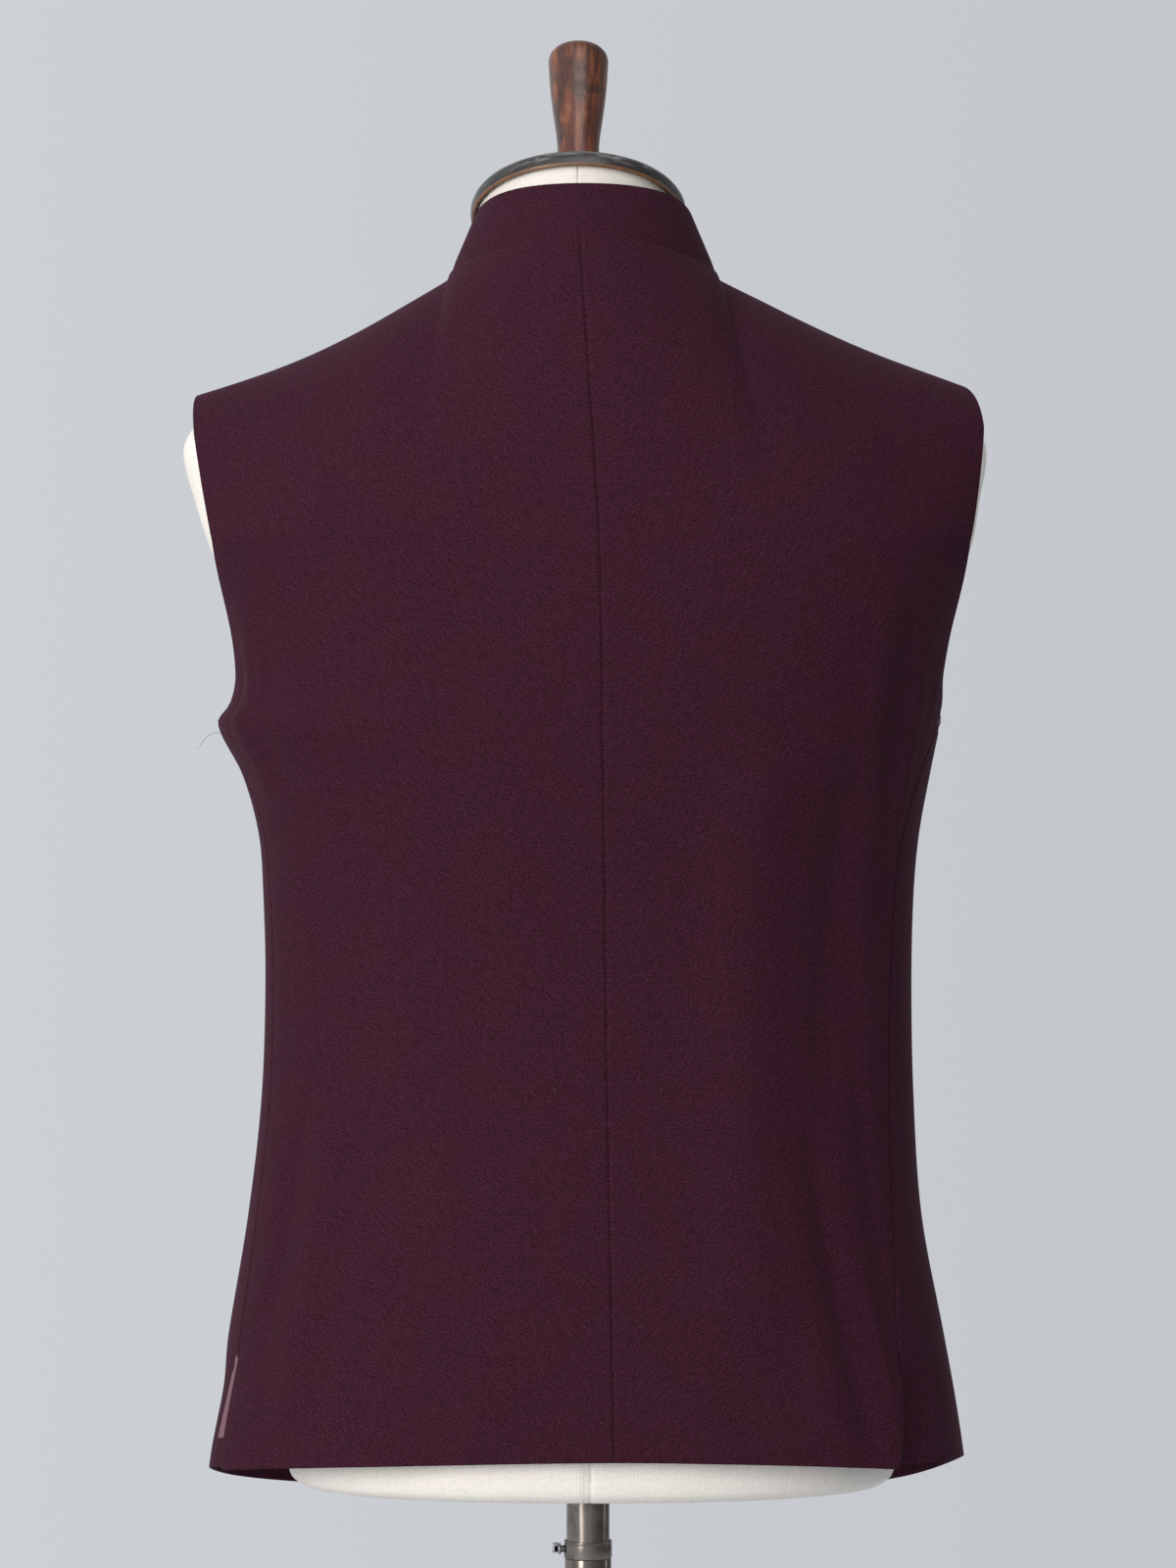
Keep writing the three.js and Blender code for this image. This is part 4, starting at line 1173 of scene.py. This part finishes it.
@dataclass
class Waistcoat:
    """The cloth: four panels, the band collar, and the lining that shows at the left vent."""

    wall: float = 1.7
    panel_columns: int = 84
    body_rows: int = 150
    shoulder_rows: int = 54
    collar_seat: float = -0.6
    foot_seat: float = -2.2
    collar_gap: float = 2.5
    collar_corner: float = 9
    collar_wall: float = 1.9
    collar_columns: int = 230
    collar_length: float = 430
    collar_rows: int = 15
    collar_height: float = 41
    collar_valley: float = 0.8
    seat_share: float = 0.3
    facing: float = 34
    panel_length: float = 520
    panel_width: float = 220
    shoulder_length: float = 150
    back_valley: float = 1.1
    strip_low: float = 629
    strip_high: float = 684
    strip_under: float = 16
    strip_drop: float = 1.9
    strip_wall: float = 1.0
    strip_columns: int = 10
    strip_width: float = 18
    strip_rows: int = 44
    strip_length: float = 55
    strip_peek: float = 4.0
    strip_flare: float = 4.4
    strip_curve: float = 0.6
    nick_at: float = 0.7
    nick_width: float = 0.05

    def build(self) -> None:
        """Makes and dresses every cloth piece."""
        suiting = TwillSuiting().build()
        lining = SatinLining().build()
        self.make_panels(suiting, lining)
        self.make_collar(suiting)
        self.make_vent_lining(lining)

    def make_panels(self, suiting: Finish, lining: Finish) -> None:
        """The two backs and the two fronts."""
        cuts = {
            "back_left": (Side.LEFT, Layer.BACK, (0.275, 0.70), 0.142),
            "back_right": (Side.RIGHT, Layer.BACK, (0.265, 0.70), 0.125),
            "front_left": (Side.LEFT, Layer.FRONT, (0.275, 0.72), 0.152),
            "front_right": (Side.RIGHT, Layer.FRONT, (0.300, 0.72), 0.165),
        }
        for name, (side, layer, flat, area) in cuts.items():
            panel = Panel(name, side, layer)
            body = graded(self.body_rows, self.panel_length)
            shoulder = graded(self.shoulder_rows, self.shoulder_length, 1, 2)
            middle = np.linspace(body[-8], shoulder[7], 14)
            rows = np.concatenate([body[:-8], middle, shoulder[8:]])
            inner = self.back_valley if panel.is_back else 0
            seams = Seams(inner=inner, outer_low=1, high=1, split=panel.share(ARMHOLE_FOOT))
            columns = graded(self.panel_columns, self.panel_width)
            piece = cloth_sheet(f"{name}_cloth", panel.face, columns, rows, self.wall, panel.flip, seams)
            self.line_inside(piece, len(rows), len(columns))
            dress(piece, "figure", "suiting", suiting, lining)
            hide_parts(name)

    def line_inside(self, piece: Piece, rows: int, columns: int) -> None:
        """Gives the inner side its lining, inside a facing of the outer cloth at the edges."""
        mesh = piece.data
        outer_faces = (rows - 1) * (columns - 1)
        uv = mesh.uv_layers["cloth"].data
        width = max(loop.uv[0] for loop in uv)
        for face in list(mesh.polygons)[outer_faces:]:
            across, along = uv[face.loop_start].uv
            inside = self.facing * MM < across < width - self.facing * MM
            if inside and along > self.facing * MM:
                face.material_index = 1

    def make_collar(self, suiting: Finish) -> None:
        """The band collar, folded at its top, its round ends meeting at the centre front."""
        end_angle = 180 - self.collar_gap / 2 / NECK_SEAM.half_width / DEGREE

        def face(u: np.ndarray, v: np.ndarray) -> np.ndarray:
            """The collar's outer face, u along it and v up it."""
            angle = lerp(-end_angle, end_angle, u)
            foot = NECK_SEAM.point(angle)
            top = COLLAR_TOP.point(angle)
            from_end = (end_angle - np.abs(angle)) * DEGREE * COLLAR_TOP.half_width
            corner = 1 - np.clip(from_end / self.collar_corner, 0, 1)
            cut = self.collar_corner * (1 - np.sqrt(1 - corner**2))
            height = np.linalg.norm(top - foot, axis=-1)
            points = lerp(foot, top, (v * (1 - cut / height))[..., None])
            points[..., 2] += lerp(self.foot_seat, self.collar_seat, smooth(v / self.seat_share))
            return points

        columns = graded(self.collar_columns, self.collar_length)
        rows = graded(self.collar_rows, self.collar_height)
        seams = Seams(low=self.collar_valley)
        piece = cloth_sheet("collar_band", face, columns, rows, self.collar_wall, True, seams)
        dress(piece, "figure", "suiting", suiting)
        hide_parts("collar")

    def make_vent_lining(self, lining: Finish) -> None:
        """The narrow strip of lining that has slipped past the back's edge at the left vent."""
        back = Panel("back_left", Side.LEFT, Layer.BACK)

        def face(u: np.ndarray, v: np.ndarray) -> np.ndarray:
            """The strip's outer face, u out past the back's edge and v up it."""
            share = back.share(lerp(self.strip_low, self.strip_high, v))
            one = np.ones_like(u)
            edge = back.face(one, share)
            out = unit(edge - back.face(0.9 * one, share))
            up = back.face(one, share + SLOPE_STEP) - back.face(one, share - SLOPE_STEP)
            normal = unit(np.cross(up, out))
            flare = self.strip_flare * np.clip(1 - v, 0, 1) ** self.strip_curve
            peek = self.strip_peek + flare - bell(v - self.nick_at, self.nick_width)
            reach = lerp(-self.strip_under, peek, u)[..., None]
            return edge + out * reach - normal * self.strip_drop

        columns = graded(self.strip_columns, self.strip_width)
        rows = graded(self.strip_rows, self.strip_length)
        piece = cloth_sheet("vent_lining", face, columns, rows, self.strip_wall, True, Seams())
        dress(piece, "figure", "lining", lining)
        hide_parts("vent_lining_left")


@dataclass
class Fastening:
    """Five sew-through buttons on the centre front, with their buttonholes and thread."""

    heights: tuple[float, ...] = (1196, 1093, 990, 887, 784)
    radius: float = 10
    thickness: float = 3.4
    rim: float = 2.2
    rim_slope: float = 1.1
    dish: float = 1.0
    lift: float = 0.4
    holes: int = 4
    hole_radius: float = 0.85
    hole_spread: float = 1.9
    buttonhole: tuple[float, float] = (-3, 21)
    stitch_pitch: float = 1.0
    thread_radius: float = 0.32
    search_steps: int = 14
    search_pace: float = 0.9
    slope_reach: float = 0.02

    def build(self) -> None:
        """Makes the buttons, their threads and the buttonholes."""
        front = Panel("front_left", Side.LEFT, Layer.FRONT)
        finish = HornButton().build()
        thread = SewingThread("spun_polyester_wine", "#2c1119", "#4a2430").build()
        pattern = self.model_button()
        stitches = []
        for number, height in enumerate(self.heights, 1):
            place = self.place_on(front, height)
            button = pattern.copy()
            button.data = pattern.data.copy()
            button.name = f"button_{number}_horn"
            bpy.context.collection.objects.link(button)
            to_mm = Matrix.Diagonal((1 / MM,) * 3 + (1,))
            to_metres = Matrix.Diagonal((MM, MM, MM, 1))
            button.data.transform(to_metres @ place @ to_mm)
            dress(button, "figure", "button", finish)
            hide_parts(f"button_{number}")
            stitches.extend(self.holding_threads(place))
            stitches.extend(self.buttonhole_stitches(front, height))
        bpy.data.objects.remove(pattern)
        piece = joined_threads("buttonhole_thread", stitches, self.thread_radius)
        dress(piece, "figure", "suiting", thread)

    def place_on(self, front: Panel, height: float) -> Matrix:
        """The frame of a button on the left front: +Z out of the cloth."""
        u, v = self.find(front, np.zeros(1), height)
        point = front.face(u, v)[0]
        step = self.slope_reach
        along = unit(front.face(u + step, v) - front.face(u - step, v))[0]
        up = unit(front.face(u, v + step) - front.face(u, v - step))[0]
        normal = unit(np.cross(up, along))
        if normal[1] > 0:
            normal = -normal
        turn = Vector((0, 0, 1)).rotation_difference(Vector(normal)).to_matrix().to_4x4()
        return Matrix.Translation(Vector(point + normal * self.lift)) @ turn

    def find(self, front: Panel, x: np.ndarray, z: float) -> tuple[np.ndarray, np.ndarray]:
        """The (u, v) of places on the front at a height, found by small steps."""
        u = np.full(x.shape, 0.05)
        v = np.full(x.shape, 0.5)
        for _ in range(self.search_steps):
            here = front.face(u, v)
            du = (front.face(u + SLOPE_STEP, v) - front.face(u - SLOPE_STEP, v))[:, 0]
            dv = (front.face(u, v + SLOPE_STEP) - front.face(u, v - SLOPE_STEP))[:, 2]
            u = u - (here[:, 0] - x) / du * 2 * SLOPE_STEP
            v = v - (here[:, 2] - z) / dv * 2 * SLOPE_STEP * self.search_pace
        return u, v

    def model_button(self) -> Piece:
        """One button at the origin: a dished disc with a round rim and four holes."""
        bpy.ops.object.select_all(action="DESELECT")
        bpy.ops.mesh.primitive_cylinder_add(
            vertices=64,
            radius=self.radius * MM,
            depth=self.thickness * MM,
            location=(0, 0, self.thickness / 2 * MM),
        )
        button = bpy.context.object
        bpy.ops.object.mode_set(mode="EDIT")
        bpy.ops.mesh.select_all(action="DESELECT")
        bpy.ops.object.mode_set(mode="OBJECT")
        for face in button.data.polygons:
            face.select = face.normal.z > 0.9
        bpy.ops.object.mode_set(mode="EDIT")
        bpy.ops.mesh.select_mode(type="FACE")
        bpy.ops.mesh.inset(thickness=self.rim * MM, depth=0)
        bpy.ops.mesh.inset(thickness=self.rim_slope * MM, depth=-self.dish * MM)
        bpy.ops.object.mode_set(mode="OBJECT")
        soften(button, 0.7, 4)
        for i in range(self.holes):
            turn = (45 + 90 * i) * DEGREE
            spot = (self.hole_spread * math.cos(turn), self.hole_spread * math.sin(turn), 1)
            drill(button, self.hole_radius, spot, 16)
        set_down(button, Matrix.Identity(4))
        return button

    def holding_threads(self, place: Matrix) -> list[np.ndarray]:
        """The two parallel threads that show on top of a button."""
        paths = []
        s = self.hole_spread * 0.707
        climb = [(-s, 1.4), (-s * 0.9, 2.45), (-s * 0.4, 2.8)]
        run = climb + [(s * 0.4, 2.8), (s * 0.9, 2.45), (s, 1.4)]
        for side in (-s, s):
            for offset in (-0.25, 0.25):
                paths.append(np.array([place @ Vector((x, side + offset, z)) for x, z in run]))
        return paths

    def buttonhole_stitches(self, front: Panel, height: float) -> list[np.ndarray]:
        """Purled stitches round a slit that runs in from the button."""
        paths = []
        start, end = self.buttonhole
        count = int((end - start) / self.stitch_pitch)
        u, v = self.find(front, np.linspace(start, end, count + 1), height)
        frames = list(zip(front.face(u, v), face_normal(front.face, u, v, front.flip)))
        for point, normal in frames:
            for side in (-1, 1):
                rise = np.array([(0.2, 0.05), (0.7, 0.32), (1.3, 0.3), (1.9, 0.02)])
                paths.append(np.array([point + np.array([0, 0, side * a]) + normal * b for a, b in rise]))
        for side in (-0.15, 0.15):
            paths.append(np.array([p + np.array([0, 0, side]) + n * 0.1 for p, n in frames]))
        return paths


def soften(piece: Piece, width: float, segments: int, angle: float = 30) -> None:
    """Rounds a piece's hard edges by a bevel of a width in millimetres, and applies it."""
    bpy.context.view_layer.objects.active = piece
    bevel = piece.modifiers.new("soft_edges", "BEVEL")
    bevel.width = width * MM
    bevel.segments = segments
    bevel.limit_method = "ANGLE"
    bevel.angle_limit = angle * DEGREE
    bpy.ops.object.modifier_apply(modifier=bevel.name)


def drill(
    piece: Piece,
    radius: float,
    spot: tuple[float, float, float],
    sides: int,
    turn: tuple[float, float, float] = (0, 0, 0),
) -> None:
    """Cuts a round hole through a piece.

    Args:
        piece: the piece.
        radius: radius of the hole, in millimetres.
        spot: the middle of the hole, in millimetres.
        sides: sides round the hole.
        turn: how the hole is turned away from +Z.
    """
    bpy.ops.object.select_all(action="DESELECT")
    bpy.ops.mesh.primitive_cylinder_add(
        vertices=sides,
        radius=radius * MM,
        depth=DRILL_LENGTH * MM,
        location=[value * MM for value in spot],
        rotation=turn,
    )
    bit = bpy.context.object
    cut = piece.modifiers.new("hole", "BOOLEAN")
    cut.object = bit
    cut.solver = "EXACT"
    bpy.context.view_layer.objects.active = piece
    bpy.ops.object.modifier_apply(modifier=cut.name)
    bpy.data.objects.remove(bit)


def set_down(piece: Piece, place: Matrix) -> None:
    """Puts a piece in its place, applies it to the mesh and shades it smooth between edges."""
    bpy.ops.object.select_all(action="DESELECT")
    piece.select_set(True)
    bpy.context.view_layer.objects.active = piece
    shift = place.copy()
    shift.translation = place.translation * MM
    piece.matrix_world = shift @ piece.matrix_world
    bpy.ops.object.transform_apply(location=True, rotation=True, scale=True)
    bpy.ops.object.shade_smooth_by_angle(angle=SMOOTH_ANGLE)


def turn_on_lathe(name: str, profile: Sequence[tuple[float, float]], steps: int, bevel: float) -> Piece:
    """Turns a profile about +Z.

    Args:
        name: the piece's name.
        profile: pairs of radius and height that start and end on the axis, or come back
            to their start.
        steps: sides round the axis.
        bevel: width of the rounding along hard edges.

    Returns:
        The piece, with its place still to be set.
    """
    bpy.ops.object.select_all(action="DESELECT")
    bpy.ops.mesh.primitive_plane_add(size=MM)
    piece = bpy.context.object
    piece.name = name
    bpy.ops.object.mode_set(mode="EDIT")
    bpy.ops.mesh.select_mode(type="VERT")
    bpy.ops.mesh.merge(type="CENTER")
    bpy.ops.transform.translate(value=(profile[0][0] * MM, 0, profile[0][1] * MM))
    for (r0, h0), (r1, h1) in zip(profile, profile[1:]):
        move = {"value": ((r1 - r0) * MM, 0, (h1 - h0) * MM)}
        bpy.ops.mesh.extrude_vertices_move(TRANSFORM_OT_translate=move)
    bpy.ops.mesh.select_all(action="SELECT")
    bpy.ops.mesh.spin(steps=steps, angle=2 * math.pi, center=(0, 0, 0), axis=(0, 0, 1))
    bpy.ops.mesh.select_all(action="SELECT")
    bpy.ops.mesh.remove_doubles(threshold=0.004 * MM)
    bpy.ops.mesh.normals_make_consistent(inside=False)
    bpy.ops.object.mode_set(mode="OBJECT")
    soften(piece, bevel, 3)
    return piece


# Neck, cap and finial lie square to one axis that leans forward
NECK_FRAME = Matrix.Translation((5.5, 0, 1309.5)) @ Matrix.Rotation(25 * DEGREE, 4, "X")


@dataclass
class DressForm:
    """Canvas torso with shoulder stubs, turned neck cap and finial."""

    sides: int = 168
    foot: float = 600
    foot_top: float = 616
    foot_rows: int = 12
    shoulder_top: float = 1250
    body_rows: int = 120
    underside: tuple[float, ...] = (0.08, 0.5, 0.9, 0.985)
    inset: float = 1.1
    neck_inset: float = 0.3
    seam_depth: float = 1.1
    seam_width: float = 0.8
    seam_radius: float = 110
    seam_fade: float = 50
    sections: Table = Table(
        ("z", "mid", "left", "right", "back", "front", "power"),
        (
            (600, 0, 162, 166, 102, 106, 2.3),
            (604, 0, 167.5, 171.5, 107.5, 111.5, 2.3),
            (614, 0, 169.8, 173.8, 110, 114, 2.3),
            (680, 0, 168, 171, 104, 112, 2.25),
            (760, 0, 160, 161, 94, 107, 2.2),
            (840, 0, 155, 155, 87, 104, 2.2),
            (920, 0, 158, 158, 91, 105, 2.2),
            (990, 0, 167, 166, 104, 111, 2.2),
            (1045, 0, 178, 177, 112, 114, 2.2),
            (1085, 0, 195, 195, 115, 113, 2.1),
            (1120, 0, 212, 215, 116, 108, 2),
            (1150, 0, 222, 221, 115, 101, 1.95),
            (1178, 1, 228.5, 225, 112, 90, 1.85),
            (1192, 2, 222, 219, 109, 81, 1.7),
            (1204.5, 3.5, 208, 208, 103, 69, 1.6),
            (1227, 6.6, 157.5, 163.5, 92, 53, 1.5),
            (1250, 9.1, 104, 106.5, 78, 48, 1.6),
        ),
    )
    neck_rings: tuple[tuple[float, float], ...] = (
        (54.8, -38.5), (54, -24.5), (54.8, -8), (57.6, -0.3)
    )

    def build(self) -> None:
        """Makes and dresses the form."""
        self.make_torso()
        self.make_cap()
        self.make_finial()

    def turns(self) -> np.ndarray:
        """Angles round a section, closer together at the seams."""
        even = np.arange(self.sides) * 360 / self.sides
        extra = [seam + offset for seam in (0, 90, 180, 270) for offset in (-1, -0.6, -0.3, 0.3, 0.6, 1)]
        return np.unique(np.mod(np.concatenate([even, extra]), 360)) * DEGREE

    def ring(self, z: float) -> np.ndarray:
        """One level section of the torso."""
        turns = self.turns()
        row = {name: float(self.sections.read(name, np.array(z))) for name in self.sections.columns[1:]}
        sine = np.sin(turns)
        cosine = np.cos(turns)
        power = 2 / row["power"]
        width = np.where(sine > 0, row["left"], row["right"]) - self.inset
        depth = np.where(cosine > 0, row["back"], row["front"]) - self.inset
        x = np.sign(sine) * width * np.abs(sine) ** power
        y = row["mid"] + np.sign(cosine) * depth * np.abs(cosine) ** power
        return np.stack([x, y, np.full_like(x, z)], -1)

    def neck_ring(self, radius: float, height: float) -> np.ndarray:
        """One ring of the neck, square to its axis."""
        turns = self.turns()
        points = [(radius * math.sin(t), radius * math.cos(t), height) for t in turns]
        return np.array([NECK_FRAME @ Vector(p) for p in points])

    def make_torso(self) -> None:
        """The padded canvas body, with its four seams."""
        foot_heights = np.linspace(self.foot, self.foot_top, self.foot_rows)[:-1]
        body_heights = np.linspace(self.foot_top, self.shoulder_top, self.body_rows)
        rings = [self.ring(z) for z in np.concatenate([foot_heights, body_heights])]
        underside = [self.ring(self.foot) * [k, k, 1] for k in self.underside]
        neck_inset = self.inset * self.neck_inset
        necks = [self.neck_ring(radius - neck_inset, height) for radius, height in self.neck_rings]
        slope = [lerp(rings[-1], necks[0], s) for s in np.linspace(0, 1, 9)[1:-1]]
        neck = []
        for low, high in zip(necks, necks[1:]):
            neck.extend(lerp(low, high, s) for s in np.linspace(0, 1, 7)[:-1])
        lid = [lerp(necks[-1], necks[-1].mean(0), s) for s in (0, 0.5, 0.98)]
        grid = np.array([*underside, *rings, *slope, *neck, *lid])
        grid = self.sew(grid)
        rows, sides = grid.shape[:2]
        along = run_length(grid, 0)
        closed = np.concatenate([grid, grid[:, :1]], 1)
        around = run_length(closed, 1)
        middle = around[rows // 2]
        index = np.arange(rows * sides).reshape(rows, sides)
        index = np.concatenate([index, index[:, :1]], 1)
        corners = [index[:-1, :-1], index[1:, :-1], index[1:, 1:], index[:-1, 1:]]
        quads = np.stack(corners, -1).reshape(-1, 4)
        uv = np.stack([np.broadcast_to(middle[:-1], (rows, sides)), along], -1).reshape(-1, 2) * MM
        points = grid.reshape(-1, 3)
        ends = np.array([grid[0].mean(0), grid[-1].mean(0)])
        low_fan = [[len(points), index[0, i], index[0, i + 1], index[0, i + 1]] for i in range(sides)]
        high_fan = [[len(points) + 1, index[-1, i + 1], index[-1, i], index[-1, i]] for i in range(sides)]
        quads = np.concatenate([quads, np.array(low_fan), np.array(high_fan)])
        uv = np.concatenate([uv, np.zeros((2, 2))])
        piece = make_mesh("torso_canvas", np.concatenate([points, ends]), quads, uv)
        dress(piece, "figure", "canvas", CottonCanvas().build())
        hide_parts("torso")

    def sew(self, grid: np.ndarray) -> np.ndarray:
        """Presses the centre and side seams into the canvas."""
        centre = grid.mean(1, keepdims=True)
        out = grid - centre
        out[..., 2] = 0
        reach = np.linalg.norm(out, axis=-1, keepdims=True)
        turns = self.turns()
        depth = np.zeros_like(turns)
        for seam in (0, 90, 180, 270, 360):
            depth += bell((turns / DEGREE - seam) * DEGREE * self.seam_radius, self.seam_width)
        pull = self.seam_depth * depth[None, :, None] * np.minimum(1, reach / self.seam_fade)
        return grid - out / np.maximum(reach, 1e-6) * pull

    def make_cap(self) -> None:
        """The worn wooden cap on the neck."""
        profile = (
            (0, 0), (58.5, 0), (58.5, -2.3), (59.2, -2.7), (60.2, -1.6), (60.6, 1.7), (60.4, 4.6), (59, 7),
            (56.5, 8.7), (52, 9.9), (51.2, 9.5),
            (50.2, 9.5), (49.4, 10.4), (40, 11.8), (28, 12.8), (18, 13.4), (17.2, 14), (13, 14), (0, 14),
        )
        cap = turn_on_lathe("neck_cap_wood", profile, 128, 0.35)
        set_down(cap, NECK_FRAME)
        finish = TurnedWood(
            "dark_stained_turned_wood", ("#1c1817", "#2c2624", "#3b322d"), "#191617", "#8f6038", -1.0,
            (0.5, 8.6), 5, 0.36,
        )
        dress(cap, "figure", "cap_wood", finish.build(NECK_FRAME))
        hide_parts("neck_cap")

    def make_finial(self) -> None:
        """The turned handle on the cap."""
        profile = (
            (0, 14.3), (11.8, 14.3), (11.8, 46), (12.3, 53), (13.4, 61), (14.5, 70), (15.6, 79.5), (16.5, 90),
            (17, 101), (17, 103.6), (16.3, 106), (14.8, 108), (12.5, 109.4), (6, 110.3), (0, 110.5),
        )
        finial = turn_on_lathe("finial_wood", profile, 72, 0.4)
        set_down(finial, NECK_FRAME)
        finish = TurnedWood(
            "lacquered_red_brown_wood", ("#3a1d15", "#5e3020", "#8a5230"), "#231613", "#7b4526", 0,
            (200, 201), 4, 0.3,
        )
        dress(finial, "figure", "finial_wood", finish.build(NECK_FRAME))
        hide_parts("finial")


@dataclass
class Stand:
    """Round cast base and telescopic pole with its clamp ring and thumb screw."""

    outer_radius: float = 13.1
    inner_radius: float = 12.1
    clamp_z: float = 561
    clamp_bore: float = 12.4
    screw_hole: float = 2.5
    screw_x: float = 12.9
    screw_threads: int = 4
    screw_pitch: float = 0.55
    tab_x: float = 17.6
    tab_size: tuple[float, float, float] = (3.6, 1.9, 4.2)
    socket_gap: float = 0.3

    def build(self) -> None:
        """Makes and dresses the stand."""
        steel = DrawnSteel().build()
        self.make_base()
        self.make_tube("pole_outer", (12.4, self.outer_radius), (8.3, 556), "stand", steel)
        self.make_tube("pole_inner", (10.6, self.inner_radius), (250, 639.7), "mast", steel)
        self.make_clamp(steel)
        self.make_screw()

    def make_base(self) -> None:
        """The base plate, dished, with a boss and a socket."""
        bore = self.outer_radius + self.socket_gap
        profile = (
            (0, 0), (176, 0), (179, 0.8), (180, 2), (180, 4), (179, 5.4), (176, 6.2), (160, 7.2), (140, 8.5),
            (100, 9.8), (60, 10.6), (48, 11.8), (38, 14.6), (34, 16), (28, 17.4), (25, 19), (22.8, 22.5),
            (22, 27), (20, 66), (19.4, 69), (17.6, 70), (bore, 70), (bore, 8), (0, 8),
        )
        base = turn_on_lathe("base_plate_iron", profile, 160, 0.3)
        set_down(base, Matrix.Identity(4))
        dress(base, "stand", "iron", EnamelledIron().build())
        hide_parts("base_plate")

    @staticmethod
    def make_tube(
        node: str, radii: tuple[float, float], ends: tuple[float, float], body: str, steel: Finish
    ) -> None:
        """One tube of the pole, in place of its node, with inner and outer radius and both ends."""
        inner, outer = radii
        low, high = ends
        profile = ((inner, low), (outer, low), (outer, high), (inner, high), (inner, low))
        tube = turn_on_lathe(f"{node}_steel", profile, 96, 0.3)
        set_down(tube, Matrix.Identity(4))
        dress(tube, body, "steel", steel)
        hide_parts(node)

    def make_clamp(self, steel: Finish) -> None:
        """The clamp ring, grooved above and drilled for its screw."""
        bore = self.clamp_bore
        profile = (
            (bore, 556.3), (13.2, 556.3), (13.5, 556.6), (13.5, 564.2), (13.2, 564.4), (13.2, 564.9),
            (13.5, 565.1), (13.4, 565.8), (13, 566), (bore, 566), (bore, 556.3),
        )
        ring = turn_on_lathe("clamp_ring_steel", profile, 96, 0.08)
        drill(ring, self.screw_hole, (13, 0, self.clamp_z), 32, (0, math.pi / 2, 0))
        set_down(ring, Matrix.Identity(4))
        dress(ring, "stand", "steel", steel)
        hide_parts("clamp_ring")

    def make_screw(self) -> None:
        """The thumb screw: a threaded shank with a flat tab for the fingers."""
        shank = [(0, 0)]
        for i in range(self.screw_threads):
            shank.extend([(2.1, 0.15 + i * self.screw_pitch), (1.8, 0.42 + i * self.screw_pitch)])
        shank.extend([(2.1, 2.3), (3.1, 2.5), (3.3, 3.0), (3.1, 3.6), (1.4, 3.8), (0, 3.8)])
        screw = turn_on_lathe("thumb_screw_steel", shank, 40, 0.08)
        lie_down = Matrix.Translation((self.screw_x, 0, self.clamp_z)) @ Matrix.Rotation(math.pi / 2, 4, "Y")
        set_down(screw, lie_down)
        bpy.ops.object.select_all(action="DESELECT")
        bpy.ops.mesh.primitive_cube_add(size=MM, location=(self.tab_x * MM, 0, self.clamp_z * MM))
        tab = bpy.context.object
        bpy.ops.object.mode_set(mode="EDIT")
        bpy.ops.mesh.select_all(action="SELECT")
        bpy.ops.transform.resize(value=self.tab_size, center_override=tab.location)
        bpy.ops.object.mode_set(mode="OBJECT")
        self.spread_ears(tab)
        soften(tab, 0.7, 4)
        bpy.ops.object.select_all(action="DESELECT")
        tab.select_set(True)
        screw.select_set(True)
        bpy.context.view_layer.objects.active = screw
        bpy.ops.object.join()
        set_down(screw, Matrix.Identity(4))
        # The second colour is the painted reflection of the screw's darker patches
        zinc = DrawnSteel("zinc_plated_steel", "#a4a5a8", "#85858a", 0.28)
        dress(screw, "screw", "screw_steel", zinc.build())
        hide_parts("thumb_screw")

    def spread_ears(self, tab: Piece) -> None:
        """Draws the tab out to a rounded ear above and below."""
        for sign in (1, -1):
            for face in tab.data.polygons:
                face.select = face.normal.z * sign > 0.9
            bpy.context.view_layer.objects.active = tab
            bpy.ops.object.mode_set(mode="EDIT")
            bpy.ops.mesh.select_mode(type="FACE")
            bpy.ops.mesh.extrude_region_move(TRANSFORM_OT_translate={"value": (0.5 * MM, 0, sign * 1.3 * MM)})
            bpy.ops.mesh.select_all(action="DESELECT")
            bpy.ops.object.mode_set(mode="OBJECT")


@dataclass
class StrayFibres:
    """A loose sewing thread at the left armhole."""

    root_z: float = 1021
    root_u: float = 0.995
    radius: float = 0.22
    steps: tuple[tuple[float, float, float], ...] = (
        (-1, 0, -2), (2.5, 1.5, -1.2), (6, 2.4, -2.6), (9, 2, -5.6), (11, 1, -9), (14, 0.6, -11)
    )

    def build(self) -> None:
        """Makes the thread from a few places along it."""
        back = Panel("back_left", Side.LEFT, Layer.BACK)
        v = np.array([back.share(self.root_z)])
        root = back.face(np.array([self.root_u]), v)[0]
        path = root + np.array(self.steps, float)
        piece = joined_threads("loose_thread", [path], self.radius, 8)
        grey = SewingThread("spun_polyester_grey", "#8d8688", "#b3adae")
        dress(piece, "figure", "suiting", grey.build())


def write_sizes() -> None:
    """Updates the view layer."""
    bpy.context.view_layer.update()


def main() -> None:
    """Builds the stage and every piece."""
    logging.basicConfig(level=logging.INFO, format="%(name)s: %(message)s")
    for sub_assembly in (Studio(), Waistcoat(), Fastening(), DressForm(), Stand(), StrayFibres()):
        sub_assembly.build()
    write_sizes()


if __name__ == "__main__":
    main()
